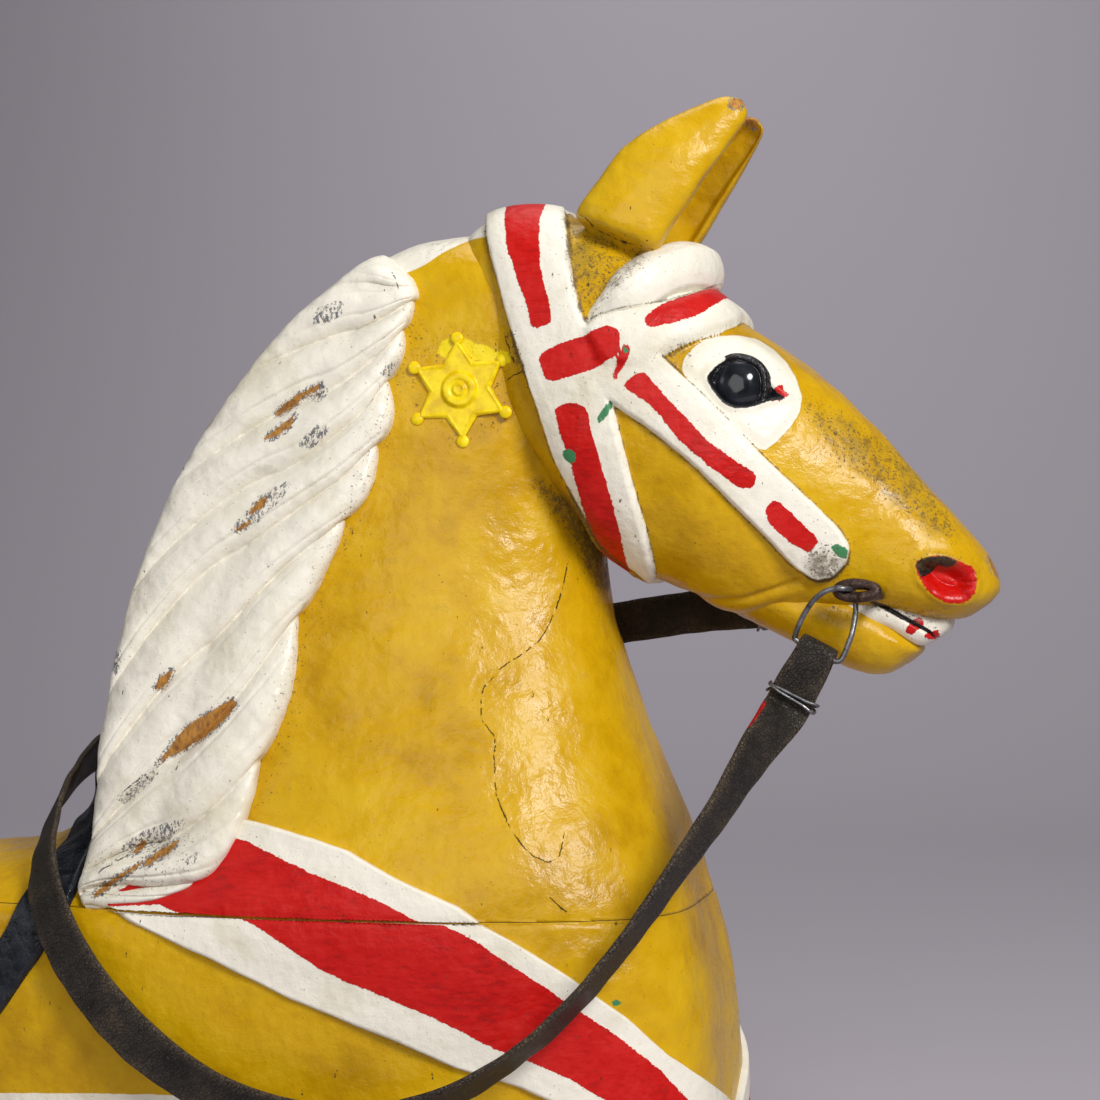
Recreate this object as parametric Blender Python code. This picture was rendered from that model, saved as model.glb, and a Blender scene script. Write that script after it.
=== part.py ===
"""Bust of a carousel horse: the carved wooden head, neck and chest, cut flat below and behind, with its
glass eyes, star badge, iron bit eyes, wire links and leather rein. Metres, +Z up. The horse faces +X and
its right side, the side with the mane and the badge, faces -Y."""

import math

import bmesh
import bpy
from mathutils import Matrix, Vector
from mathutils.bvhtree import BVHTree

# Driving sizes
BUST_HEIGHT = 0.6027
CARVED_HEIGHT_MM = 602.7
FIT_GAP = 0.0004
STRAP_RELIEF = 0.005
COLLAR_RELIEF = 0.006
SADDLE_STRAP_RELIEF = 0.0045
EYE_RADIUS = 0.0185
EYE_BULGE = 0.0065
EYE_DEPTH = 0.012
EYE_SOCKET_GAP = 0.0005
STAR_RADIUS = 0.0340
STAR_WAIST = 0.0187
STAR_BALL_RADIUS = 0.0038
STAR_THICKNESS = 0.0014
STAR_BOSS_RADIUS = 0.0105
STAR_BOSS_HEIGHT = 0.0028
STAR_POINTS = 6
BIT_ROD_RADIUS = 0.0024
BIT_RING_LENGTH = 0.022
BIT_RING_HEIGHT = 0.010
BIT_STAND_OFF = 0.017
BIT_SHANK_DEPTH = 0.012
LINK_WIRE_RADIUS = 0.0016
LINK_BEND = 0.003
REIN_WIDTH = 0.026
REIN_FOLD_WIDTH = 0.022
REIN_THICKNESS = 0.004
REIN_TIP_LENGTH = 0.008
BINDING_WIRE_RADIUS = 0.0009
BINDING_TURNS = 2
BINDING_SLACK = 0.0009

UNIT = BUST_HEIGHT / CARVED_HEIGHT_MM
ORIGIN_FROM_NECK_X = 59.0 * UNIT
BUST_REAR_X = ORIGIN_FROM_NECK_X - 384.4 * UNIT

# The carving is given in millimetres on the carver's own side view, x forward from the neck's middle and
# z up from the cut base. Each cross-section row is: back edge x, z, front edge x, z, half width,
# roundness at the back edge, roundness at the front edge, and how far along it is widest.
BODY_SECTIONS = [
    (-480, -40, 113, -60, 131, 0.30, 0.22, 0.5),
    (-480, 30, 112, 0, 131, 0.30, 0.22, 0.5),
    (-480, 105, 110, 40, 132, 0.34, 0.22, 0.5),
    (-455, 150, 107, 72, 131, 0.42, 0.22, 0.52),
    (-392, 158, 103, 100, 130, 0.46, 0.23, 0.55),
    (-345, 162, 96, 128, 128, 0.48, 0.25, 0.56),
    (-308, 171, 88, 156, 124, 0.48, 0.27, 0.56),
    (-283, 190, 79, 184, 117, 0.46, 0.30, 0.55),
    (-279, 222, 69, 210, 107, 0.44, 0.33, 0.55),
    (-271, 262, 58, 240, 96, 0.42, 0.36, 0.55),
    (-262, 302, 48, 272, 87, 0.42, 0.38, 0.55),
    (-251, 342, 39, 300, 79, 0.42, 0.40, 0.55),
    (-238, 380, 34, 328, 72, 0.42, 0.42, 0.55),
    (-217, 416, 32, 354, 66, 0.42, 0.42, 0.55),
    (-191, 449, 33, 380, 62, 0.42, 0.42, 0.55),
    (-160, 480, 36, 405, 59, 0.42, 0.42, 0.55),
    (-124, 508, 40, 430, 56, 0.40, 0.42, 0.55),
    (-80, 530, 46, 455, 52, 0.40, 0.42, 0.55),
    (-36, 534, 50, 474, 44, 0.42, 0.42, 0.55),
]
HEAD_SECTIONS = [
    (-60, 517, -8, 395, 44, 0.34, 0.40, 0.6),
    (-36, 541, 24, 360, 60, 0.32, 0.38, 0.6),
    (-3, 546, 40, 341, 66, 0.30, 0.36, 0.6),
    (37, 537, 60, 331, 69, 0.30, 0.36, 0.58),
    (74, 514, 82, 322, 70, 0.30, 0.37, 0.55),
    (103, 488, 101, 313, 70, 0.32, 0.36, 0.50),
    (127, 472, 117, 307, 66, 0.34, 0.36, 0.47),
    (149, 457, 131, 303, 60, 0.37, 0.36, 0.46),
    (171, 440, 146, 303, 54, 0.40, 0.35, 0.48),
    (192, 420, 163, 305, 49, 0.42, 0.34, 0.52),
    (213, 397, 183, 309, 45, 0.42, 0.32, 0.56),
    (233, 374, 206, 309, 43, 0.42, 0.32, 0.58),
    (249, 356, 229, 305, 40, 0.42, 0.36, 0.58),
    (260, 341, 247, 306, 33, 0.44, 0.44, 0.56),
    (266, 328, 259, 313, 19, 0.48, 0.48, 0.5),
    (266, 321, 266, 321, 0, 0.5, 0.5, 0.5),
]
JAW_SECTIONS = [
    (88, 352, 82, 330, 28, 0.4, 0.4, 0.5),
    (118, 346, 108, 311, 36, 0.4, 0.42, 0.5),
    (146, 336, 136, 297, 36, 0.4, 0.42, 0.5),
    (172, 326, 163, 284, 34, 0.4, 0.42, 0.5),
    (190, 319, 184, 275, 32, 0.4, 0.42, 0.45),
    (204, 307, 201, 273, 29, 0.4, 0.44, 0.4),
    (214, 297, 213, 279, 24, 0.4, 0.46, 0.4),
    (222, 291, 221, 285, 13, 0.45, 0.5, 0.5),
    (223, 288, 223, 288, 0, 0.5, 0.5, 0.5),
]
TEETH_SECTIONS = [
    (174, 322, 176, 304, 29, 0.3, 0.3, 0.5),
    (204, 318, 204, 298, 30, 0.3, 0.3, 0.5),
    (226, 311, 222, 290, 26, 0.3, 0.3, 0.5),
    (238, 308, 236, 297, 18, 0.35, 0.35, 0.5),
    (240, 302, 240, 302, 0, 0.5, 0.5, 0.5),
]
# Rear edge x, z, front edge x, z, half thickness, roundness twice, widest, and how far the middle leans out.
EAR_SECTIONS = [
    (30, 512, 66, 497, 12, 0.42, 0.42, 0.5, 45),
    (22, 525, 72, 505, 13, 0.42, 0.42, 0.5, 45),
    (27, 541, 76, 520, 14, 0.42, 0.36, 0.5, 45),
    (40, 560, 86, 536, 13, 0.42, 0.34, 0.5, 44),
    (58, 577, 97, 553, 12, 0.42, 0.34, 0.5, 42),
    (80, 590, 107, 569, 10, 0.42, 0.34, 0.5, 38),
    (101, 599, 116, 585, 8, 0.42, 0.36, 0.5, 34),
    (114, 603, 122, 596, 5, 0.44, 0.40, 0.5, 32),
    (120, 601, 120, 601, 0, 0.5, 0.5, 0.5, 31),
]
# Left edge x, z and right edge x, z of the rolled mane on the horse's right side, and its proud height.
MANE_SECTIONS = [
    (-246, 137, -246, 137, 2),
    (-257, 149, -212, 143, 9),
    (-256, 165, -183, 152, 15),
    (-256, 188, -166, 164, 18),
    (-256, 216, -154, 190, 20),
    (-254, 248, -143, 224, 20),
    (-250, 280, -133, 262, 20),
    (-243, 312, -128, 298, 19),
    (-234, 344, -119, 330, 19),
    (-223, 376, -103, 360, 19),
    (-206, 408, -91, 386, 19),
    (-186, 439, -82, 416, 19),
    (-164, 467, -80, 442, 18),
    (-140, 491, -72, 467, 17),
    (-116, 507, -65, 487, 15),
    (-97, 513, -65, 500, 11),
    (-79, 508, -79, 508, 3),
]
MANE_SINK = 22.0
MANE_LOCKS = 10.0
MANE_SLANT = 0.165
MANE_LOCK_DEPTH = 6.5
FORELOCK_PATH = [(42, -61, 477, 7), (56, -57, 489, 12), (72, -44, 501, 17), (83, -22, 507, 19),
                 (87, 0, 509, 19)]

CROWN_STRAP = [(-23, 560), (-22, 523), (-15, 498), (-8, 474), (1, 447), (11, 419), (19, 396), (29, 376),
               (38, 362), (49, 344), (65, 331), (80, 318), (80, 335), (73, 356), (65, 382), (57, 409),
               (52, 430), (42, 455), (33, 483), (28, 505), (25, 540), (25, 560)]
CHEEK_STRAP = [(40, 480), (82, 455), (112, 425), (140, 398), (165, 374), (182, 358), (189, 348), (187, 338),
               (178, 330), (168, 329), (155, 337), (140, 352), (117, 375), (99, 394), (73, 414), (53, 426),
               (30, 440)]
BROW_BAND = [(36, 455), (40, 462), (71, 476), (100, 489), (119, 500), (124, 488), (121, 473), (112, 466),
             (96, 462), (80, 455)]
COLLAR_BAND = [(-249, 206), (-151, 195), (-87, 177), (-59, 163), (-24, 148), (-7, 137), (33, 116), (67, 95),
               (88, 78), (120, 62), (150, 62), (150, -40), (40, -40), (34, 38), (12, 46), (-23, 55),
               (-57, 70), (-120, 92), (-166, 113), (-218, 131), (-249, 146)]
SADDLE_STRAP = [(-278, 220), (-279, 190), (-283, 168), (-290, 140), (-302, 116), (-318, 99), (-360, 70),
                (-420, 30), (-470, 0), (-420, -14), (-345, 30), (-310, 61), (-281, 98), (-264, 122),
                (-257, 137), (-256, 153), (-256, 220)]
COLLAR_FALL = 0.42
COLLAR_FALL_FROM = 118.0
EYE_PLACE = (124, 439)
NOSTRIL_PLACE = (240, 329)
STAR_PLACE = (-40, 438)
BIT_PLACE = (201, 319.5)
MOUTH_SLIT = [(188, 320.5), (212, 310.5), (236, 303.0)]
# The closed wire link that hangs from the bit eye: x, z, and how far outside the ring's own plane.
LINK_LINE = [(180.4, 281, 2), (187, 297, -1), (189, 312, -5.5), (187.2, 322.6, -5.4), (186, 323.4, 5.4),
             (176, 323.6, 7), (167, 318, 7), (159.5, 307, 4.5), (154.6, 294.6, 2)]
LINK_PIVOT = (186.5, 323.3)
REIN_BAR = (167.5, 287.8)
REIN_BINDING = (154, 262)
# The left link is pulled back by the taut side of the rein, where the right one hangs.
LEFT_LINK_SWING_DEGREES = 52.0

# The rein's route from the right link to the left one: x, y, z, then the way its flat face looks.
REIN_ROUTE = [
    (140, -80, 238, 0.52, -0.80, -0.28),
    (122, -98, 206, 0.74, -0.52, -0.42),
    (98, -120, 168, 0.85, -0.30, -0.45),
    (70, -140, 126, 0.85, -0.24, -0.50),
    (33, -151, 84, 0.72, -0.28, -0.62),
    (-10, -155, 54, 0.45, -0.42, -0.78),
    (-58, -156, 36, 0.15, -0.62, -0.75),
    (-108, -155, 33, 0.00, -0.85, -0.50),
    (-157, -153, 44, 0.00, -0.96, -0.25),
    (-200, -149, 68, 0.00, -1.00, 0.05),
    (-234, -144, 99, -0.10, -0.99, 0.10),
    (-256, -137, 128, -0.25, -0.96, 0.15),
    (-271, -123, 152, -0.50, -0.80, 0.30),
    (-281, -100, 173, -0.72, -0.55, 0.42),
    (-287, -68, 193, -0.85, -0.30, 0.42),
    (-292, -30, 208, -0.90, 0.00, 0.40),
    (-292, 10, 219, -0.90, 0.20, 0.38),
    (-281, 56, 227, -0.75, 0.60, 0.25),
    (-250, 87, 235, -0.40, 0.90, 0.15),
    (-195, 102, 248, -0.10, 0.99, 0.05),
    (-130, 103, 265, 0.00, 1.00, 0.00),
    (-60, 98, 282, 0.00, 1.00, 0.00),
    (10, 86, 296, 0.05, 1.00, 0.00),
    (70, 72, 306, 0.05, 1.00, 0.00),
]


def clear_scene():
    for old in list(bpy.data.objects):
        bpy.data.objects.remove(old)


def collection(name):
    made = bpy.data.collections.new(name)
    bpy.context.scene.collection.children.link(made)
    return made


def paint(name, colour, roughness, metallic=0.0):
    material = bpy.data.materials.new(name)
    material.use_nodes = True
    shader = material.node_tree.nodes["Principled BSDF"]
    shader.inputs["Base Color"].default_value = (*colour, 1.0)
    shader.inputs["Roughness"].default_value = roughness
    shader.inputs["Metallic"].default_value = metallic
    return material


def object_from(bm, name, home, material=None, smooth=True):
    bmesh.ops.recalc_face_normals(bm, faces=bm.faces)
    mesh = bpy.data.meshes.new(name)
    bm.to_mesh(mesh)
    bm.free()
    if smooth:
        mesh.shade_smooth()
    made = bpy.data.objects.new(name, mesh)
    home.objects.link(made)
    if material:
        mesh.materials.append(material)
    return made


def hide_as_tool(tool):
    tool.hide_render = True
    tool.display_type = "WIRE"
    return tool


def carved(x, y, z):
    """A point of the carver's side view as a place in the part's frame."""
    return Vector((x * UNIT + ORIGIN_FROM_NECK_X, y * UNIT, z * UNIT))


def along(rows, at):
    """The row at a place from 0 to 1 on a smooth curve through equal-length rows."""
    last = len(rows) - 1
    place = min(max(at, 0.0), 1.0) * last
    i = min(int(place), last - 1)
    u = place - i
    before, start, end, after = (rows[min(max(i + k, 0), last)] for k in (-1, 0, 1, 2))
    row = []
    for p, a, b, n in zip(before, start, end, after):
        bend, twist = 2 * p - 5 * a + 4 * b - n, 3 * a - p - 3 * b + n
        row.append(0.5 * (2 * a + (b - p) * u + bend * u ** 2 + twist * u ** 3))
    return row


def section_place(row, turn):
    """The point at a turn from 0 to 1 round one cross-section, from its back edge down its right side."""
    back_x, back_z, front_x, front_z, half, back_round, front_round, widest = row[:8]
    share = (1.0 - math.cos(2.0 * math.pi * turn)) / 2.0
    if share < widest:
        fullness = (1.0 - (1.0 - share / widest) ** 2) ** back_round
    else:
        fullness = max(0.0, 1.0 - (1.0 - (1.0 - share) / (1.0 - widest)) ** 2) ** front_round
    side = -1.0 if turn <= 0.5 else 1.0
    x, z = back_x + (front_x - back_x) * share, back_z + (front_z - back_z) * share
    return Vector((x, side * max(half, 0.0) * fullness, z))


def rolled_sheet(name, home, around, rows, placed, lift=0.0):
    """A closed form: a grid rolled up so that its seam meets, with its open ends filled flat."""
    bm = bmesh.new()
    bmesh.ops.create_grid(bm, x_segments=around, y_segments=rows, size=0.5)
    for v in bm.verts:
        v.co = placed(v.co.x + 0.5, v.co.y + 0.5)
    bmesh.ops.remove_doubles(bm, verts=bm.verts, dist=0.00002)
    bmesh.ops.holes_fill(bm, edges=[e for e in bm.edges if e.is_boundary], sides=0)
    bmesh.ops.recalc_face_normals(bm, faces=bm.faces)
    bm.normal_update()
    for v in bm.verts if lift else []:
        v.co += v.normal * lift
    return hide_as_tool(object_from(bm, name, home))


def lofted(name, home, sections, around, rows, lift=0.0):
    """A carved form through its cross-sections; lift makes it that much fatter all over."""
    def placed(turn, at):
        return carved(*section_place(along(sections, at), turn))
    return rolled_sheet(name, home, around, rows, placed, lift)


def side_cutter(name, home, outline, layers, fall=0.0):
    """An outline of the side view, carried across the horse from layer to layer; fall lowers its middle."""
    def dropped(z, y):
        return z - fall * max(0.0, COLLAR_FALL_FROM - abs(y))

    bm = bmesh.new()
    ring = [bm.verts.new(carved(x, layers[0], dropped(z, layers[0]))) for x, z in outline]
    rim = [bm.edges.new((a, b)) for a, b in zip(ring, ring[1:] + ring[:1])]
    bmesh.ops.triangle_fill(bm, use_beauty=True, edges=rim)
    heights = {v: z for v, (x, z) in zip(ring, outline)}
    faces = list(bm.faces)
    for y in layers[1:]:
        before = [v for v in heights]
        inner = [] if y == layers[1] else faces
        made = bmesh.ops.extrude_face_region(bm, geom=faces)["geom"]
        bmesh.ops.delete(bm, geom=[f for f in inner if f.is_valid], context="FACES_ONLY")
        faces = [g for g in made if isinstance(g, bmesh.types.BMFace)]
        moved = [g for g in made if isinstance(g, bmesh.types.BMVert)]
        places = {tuple(round(c, 7) for c in v.co): heights[v] for v in before}
        heights = {v: places[tuple(round(c, 7) for c in v.co)] for v in moved}
        for v, z in heights.items():
            v.co = carved(0.0, y, dropped(z, y)) + Vector((v.co.x - ORIGIN_FROM_NECK_X, 0.0, 0.0))
    return hide_as_tool(object_from(bm, name, home, smooth=False))


def combine(target, other, operation):
    modifier = target.modifiers.new(f"{operation.lower()} {other.name}", "BOOLEAN")
    modifier.operation = operation
    modifier.object = other
    modifier.solver = "EXACT"
    return target


def combine_all(target, others, operation):
    """One Boolean with every object of a collection, also those that are added to it later."""
    modifier = target.modifiers.new(f"{operation.lower()} {others.name}", "BOOLEAN")
    modifier.operation = operation
    modifier.operand_type = "COLLECTION"
    modifier.collection = others
    modifier.solver = "EXACT"
    return target


def skin_tree(source):
    bpy.context.view_layer.update()
    return BVHTree.FromObject(source, bpy.context.evaluated_depsgraph_get())


def side_surface(tree, x, z, side):
    """Where a line straight across the horse first meets it on one side, and the way the surface faces."""
    reach = 0.5
    start = carved(x, 0.0, z)
    start.y = side * reach
    place, normal, _, _ = tree.ray_cast(start, Vector((0.0, -side, 0.0)))
    return place, normal


def mane_form(name, home, tree, around, rows):
    """The rolled mane: a fat lock laid along the right side of the neck, carved into slanting strands."""
    def placed(turn, at):
        angle = math.pi * (turn / 0.72) if turn < 0.72 else math.pi * (1.0 + (turn - 0.72) / 0.28)
        across = -math.cos(angle)
        slanted = at + MANE_SLANT * across * (1.0 - (2.0 * at - 1.0) ** 2)
        left_x, left_z, right_x, right_z, proud = along(MANE_SECTIONS, slanted)
        middle_x, middle_z = (left_x + right_x) / 2, (left_z + right_z) / 2
        skin, _ = side_surface(tree, middle_x, middle_z, -1.0)
        outward = max(0.0, math.sin(angle))
        groove = MANE_LOCK_DEPTH * (abs(math.sin(math.pi * MANE_LOCKS * at)) ** 0.7 - 1.0) * outward ** 0.5
        closing = math.sqrt(max(0.0, 1.0 - abs(2.0 * at - 1.0) ** 24))
        raised = (proud + groove) * outward ** 0.7
        depth = closing * (raised if angle < math.pi else MANE_SINK * math.sin(angle))
        rounded = math.copysign(abs(across) ** 0.8, across)
        half_x, half_z = (right_x - left_x) / 2, (right_z - left_z) / 2
        y = skin.y / UNIT - depth + 5.0 * (1.0 - closing)
        return carved(middle_x + half_x * rounded, y, middle_z + half_z * rounded)
    return rolled_sheet(name, home, around, rows, placed)


def forelock_form(name, home, around, rows):
    """The lock that falls across the forehead from ear to ear, thick in the middle."""
    right = list(FORELOCK_PATH)
    whole = right + [(x, -y, z, radius) for x, y, z, radius in reversed(right[:-1])]

    def placed(turn, at):
        x, y, z, radius = along(whole, at)
        ahead = Vector(along(whole, at + 0.01)[:3]) - Vector(along(whole, at - 0.01)[:3])
        level = ahead.cross(Vector((1.0, 0.0, 0.6))).normalized()
        upright = level.cross(ahead).normalized()
        closing = math.sqrt(max(0.0, 1.0 - abs(2.0 * at - 1.0) ** 8))
        angle = 2.0 * math.pi * turn
        offset = (level * math.cos(angle) + upright * math.sin(angle)) * radius * closing
        return carved(x + offset.x, y + offset.y, z + offset.z)
    return rolled_sheet(name, home, around, rows, placed)


def ear_form(name, home, around, rows, side):
    """A leaf-shaped ear, closed towards its tip, leaning in over the poll."""
    def placed(turn, at):
        row = along(EAR_SECTIONS, at)
        place = section_place(row, turn)
        return carved(place.x, side * row[8] + place.y, place.z)
    return rolled_sheet(name, home, around, rows, placed)


def ear_scoop(name, home, side):
    """The hollow of the ear's mouth, which opens forwards and inwards."""
    bm = bmesh.new()
    bmesh.ops.create_uvsphere(bm, u_segments=12, v_segments=8, radius=1.0)
    size = Matrix.Diagonal((38 * UNIT, 8 * UNIT, 11 * UNIT, 1.0))
    lean = Matrix.Rotation(math.radians(-57), 4, "Y")
    mouth = Matrix.Translation(carved(101, side * 30, 551))
    bmesh.ops.transform(bm, verts=bm.verts, matrix=mouth @ lean @ size)
    return hide_as_tool(object_from(bm, name, home, smooth=False))


def ball(name, home, place, sizes, lean_degrees=0.0, segments=16):
    """An egg-shaped cutter: half lengths along X, Y and Z in the carver's millimetres."""
    bm = bmesh.new()
    bmesh.ops.create_uvsphere(bm, u_segments=segments, v_segments=segments // 2, radius=1.0)
    size = Matrix.Diagonal((*(s * UNIT for s in sizes), 1.0))
    lean = Matrix.Rotation(math.radians(lean_degrees), 4, "Y")
    bmesh.ops.transform(bm, verts=bm.verts, matrix=Matrix.Translation(place) @ lean @ size)
    return hide_as_tool(object_from(bm, name, home, smooth=False))


def block(name, home, low, high):
    bm = bmesh.new()
    bmesh.ops.create_cube(bm, size=1.0)
    size, middle = high - low, (high + low) / 2
    bmesh.ops.transform(bm, verts=bm.verts, matrix=Matrix.Translation(middle) @ Matrix.Diagonal((*size, 1.0)))
    return hide_as_tool(object_from(bm, name, home, smooth=False))


def glass_eye(name, home, place, radius, back, bulge, material=None):
    """A domed glass eye with a flat back, its dome towards the outside."""
    steps = 4
    profile = [(0.0, -back), (radius, -back)]
    for i in range(steps + 1):
        angle = math.pi / 2 * i / steps
        profile.append((radius * math.cos(angle), bulge * math.sin(angle)))
    bm = bmesh.new()
    points = [bm.verts.new((r, 0.0, h)) for r, h in profile]
    edges = [bm.edges.new(pair) for pair in zip(points, points[1:])]
    bmesh.ops.spin(bm, geom=points + edges, axis=(0, 0, 1), cent=(0, 0, 0), steps=18, angle=math.tau,
                   use_merge=True)
    bmesh.ops.remove_doubles(bm, verts=bm.verts, dist=0.00002)
    outward = place[1].to_track_quat("Z", "X").to_matrix().to_4x4()
    bmesh.ops.transform(bm, verts=bm.verts, matrix=Matrix.Translation(place[0]) @ outward)
    return object_from(bm, name, home, material)


def star_plate(name, home, place, growth, material=None):
    """The pressed star: six points with a ball on each and a stepped boss in the middle."""
    bm = bmesh.new()
    outline = []
    for i in range(STAR_POINTS):
        tip = math.tau * i / STAR_POINTS + math.pi / 2
        waist = tip + math.pi / STAR_POINTS
        ball_middle = Vector((math.cos(tip), math.sin(tip), 0.0)) * (STAR_RADIUS - STAR_BALL_RADIUS)
        reach = STAR_BALL_RADIUS + growth
        for k in range(5):
            turn = tip + math.radians(-110 + 55 * k)
            outline.append(ball_middle + Vector((math.cos(turn), math.sin(turn), 0.0)) * reach)
        outline.append(Vector((math.cos(waist), math.sin(waist), 0.0)) * (STAR_WAIST + growth))
    ring = [bm.verts.new(p) for p in outline]
    bm.faces.new(ring)
    top = bmesh.ops.extrude_face_region(bm, geom=list(bm.faces))["geom"]
    for v in (g for g in top if isinstance(g, bmesh.types.BMVert)):
        v.co.z += STAR_THICKNESS + 2 * growth
    for v in bm.verts:
        v.co.z -= growth
    outward = place[1].to_track_quat("Z", "Y").to_matrix().to_4x4()
    seat = Matrix.Translation(place[0]) @ outward
    bmesh.ops.transform(bm, verts=bm.verts, matrix=seat)
    return object_from(bm, name, home, material, smooth=False), seat


def star_boss(name, home, seat):
    """The stepped boss, turned about the star's middle."""
    foot = STAR_THICKNESS / 2
    radius, height = STAR_BOSS_RADIUS, STAR_THICKNESS + STAR_BOSS_HEIGHT
    profile = [(0.0, foot), (radius, foot), (radius * 0.92, height * 0.8), (radius * 0.62, height),
               (radius * 0.4, height * 0.85), (radius * 0.3, height), (0.0, height)]
    bm = bmesh.new()
    points = [bm.verts.new((r, 0.0, h)) for r, h in profile]
    edges = [bm.edges.new(pair) for pair in zip(points, points[1:])]
    bmesh.ops.spin(bm, geom=points + edges, axis=(0, 0, 1), cent=(0, 0, 0), steps=16, angle=math.tau,
                   use_merge=True)
    bmesh.ops.remove_doubles(bm, verts=bm.verts, dist=0.00002)
    bmesh.ops.transform(bm, verts=bm.verts, matrix=seat)
    return hide_as_tool(object_from(bm, name, home, smooth=False))


def wire(name, home, points, radius, material=None, closed=False, sides=2):
    """A round rod or wire along points, as a curve made into a mesh."""
    curve = bpy.data.curves.new(name, "CURVE")
    curve.dimensions = "3D"
    curve.bevel_depth = radius
    curve.bevel_resolution = sides
    curve.use_fill_caps = not closed
    spline = curve.splines.new("POLY")
    spline.points.add(len(points) - 1)
    for target, point in zip(spline.points, points):
        target.co = (*point, 1.0)
    spline.use_cyclic_u = closed
    guide = bpy.data.objects.new(name + " line", curve)
    bpy.context.scene.collection.objects.link(guide)
    bpy.context.view_layer.update()
    bm = bmesh.new()
    bm.from_mesh(bpy.data.meshes.new_from_object(guide.evaluated_get(bpy.context.evaluated_depsgraph_get())))
    bpy.data.objects.remove(guide)
    bmesh.ops.remove_doubles(bm, verts=bm.verts, dist=0.00002)
    return object_from(bm, name, home, material)


def bit_eye_line(corner, side):
    """A rod out of the mouth's corner that curls into a long open eye, as a list of points."""
    plane = corner.y + side * BIT_STAND_OFF
    ring = Vector((corner.x - BIT_RING_LENGTH / 2, plane, corner.z + BIT_RING_HEIGHT * 0.35))
    outer = Vector((corner.x, plane - side * 0.004, corner.z))
    points = [corner - Vector((0.0, side * BIT_SHANK_DEPTH, 0.0)), corner, outer]
    steps = 12
    for i in range(steps + 1):
        angle = math.radians(-52 - 300 * i / steps)
        spiral = side * 0.0035 * (i / steps) ** 3
        along_x, up = math.cos(angle) * BIT_RING_LENGTH / 2, math.sin(angle) * BIT_RING_HEIGHT / 2
        points.append(ring + Vector((along_x, spiral, up)))
    return points


def swung(x, z, out, plane, side):
    """A point of the right link's line on either side of the horse."""
    turn = math.radians(-LEFT_LINK_SWING_DEGREES if side > 0 else 0.0)
    reach_x, reach_z = x - LINK_PIVOT[0], z - LINK_PIVOT[1]
    x = LINK_PIVOT[0] + reach_x * math.cos(turn) - reach_z * math.sin(turn)
    z = LINK_PIVOT[1] + reach_x * math.sin(turn) + reach_z * math.cos(turn)
    return carved(x, 0.0, z) + Vector((0.0, plane + side * out * UNIT, 0.0))


def link_points(plane, side):
    """The link's line, its corners rounded."""
    corners = [swung(x, z, out, plane, side) for x, z, out in LINK_LINE]
    points = []
    for i, corner in enumerate(corners):
        before, after = corners[i - 1], corners[(i + 1) % len(corners)]
        reach = [min(0.4, LINK_BEND / (corner - other).length) for other in (before, after)]
        start, end = corner.lerp(before, reach[0]), corner.lerp(after, reach[1])
        points += [start, end]
    return points


def ribbon(name, home, stations, thickness, material=None):
    """A flat strap through stations of (place, face direction, width); its section is a thin rectangle."""
    bm = bmesh.new()
    rings = []
    last = len(stations) - 1
    for i, (place, face, width) in enumerate(stations):
        ahead = (stations[min(i + 1, last)][0] - stations[max(i - 1, 0)][0]).normalized()
        level = ahead.cross(face).normalized()
        proud = level.cross(ahead).normalized()
        w, t = level * width / 2, proud * thickness / 2
        rings.append([bm.verts.new(place + corner) for corner in (w + t, w - t, -w - t, -w + t)])
    for near, far in zip(rings, rings[1:]):
        for k in range(4):
            bm.faces.new((near[k], near[(k + 1) % 4], far[(k + 1) % 4], far[k]))
    bm.faces.new(rings[0])
    bm.faces.new(rings[-1])
    return object_from(bm, name, home, material, smooth=False)


def fold_stations(bar, binding, side):
    """A strap end's way from its tip, behind, up and round the link's bar, and back down in front."""
    inward = (bar - binding).normalized()
    face = Vector((0.0, side, 0.0))
    face = (face - inward * face.dot(inward)).normalized()
    layer = REIN_THICKNESS / 2 + LINK_WIRE_RADIUS + FIT_GAP * 2
    close = REIN_THICKNESS / 2 + FIT_GAP
    middle = binding.lerp(bar, 0.5)
    wide = (REIN_WIDTH + REIN_FOLD_WIDTH) / 2
    stations = [(binding - inward * REIN_TIP_LENGTH - face * close, -face, REIN_WIDTH * 0.9),
                (binding - face * close, -face, REIN_WIDTH * 0.9),
                (middle - face * layer, -face, wide),
                (bar - inward * layer * 0.5 - face * layer, -face, REIN_FOLD_WIDTH)]
    for degrees in (0, 30, 60, 90, 120, 150, 180):
        angle = math.radians(degrees)
        turn = -face * math.cos(angle) + inward * math.sin(angle)
        stations.append((bar + turn * layer, turn, REIN_FOLD_WIDTH))
    stations += [(middle + face * layer, face, wide), (binding + face * close, face, REIN_WIDTH),
                 (binding - inward * REIN_TIP_LENGTH + face * close, face, REIN_WIDTH)]
    return stations


def rein_stations(right_plane, left_plane):
    """The whole strap: the right fold, the slack loop round the neck and the left fold."""
    ends = []
    for plane, side in ((right_plane, -1.0), (left_plane, 1.0)):
        bar, binding = (swung(x, z, 2, plane, side) for x, z in (REIN_BAR, REIN_BINDING))
        ends.append(fold_stations(bar, binding, side))
    start, finish = ends[0][-1], ends[1][-1]
    between = [[*carved(*row[:3]), *row[3:]] for row in REIN_ROUTE]
    route = [[*start[0], *start[1]], *between, [*finish[0], *finish[1]]]
    loop = []
    count = 2 * (len(route) - 1)
    for i in range(1, count):
        row = along(route, i / count)
        loop.append((Vector(row[:3]), Vector(row[3:]), REIN_WIDTH))
    return ends[0] + loop + ends[1][::-1]


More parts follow.
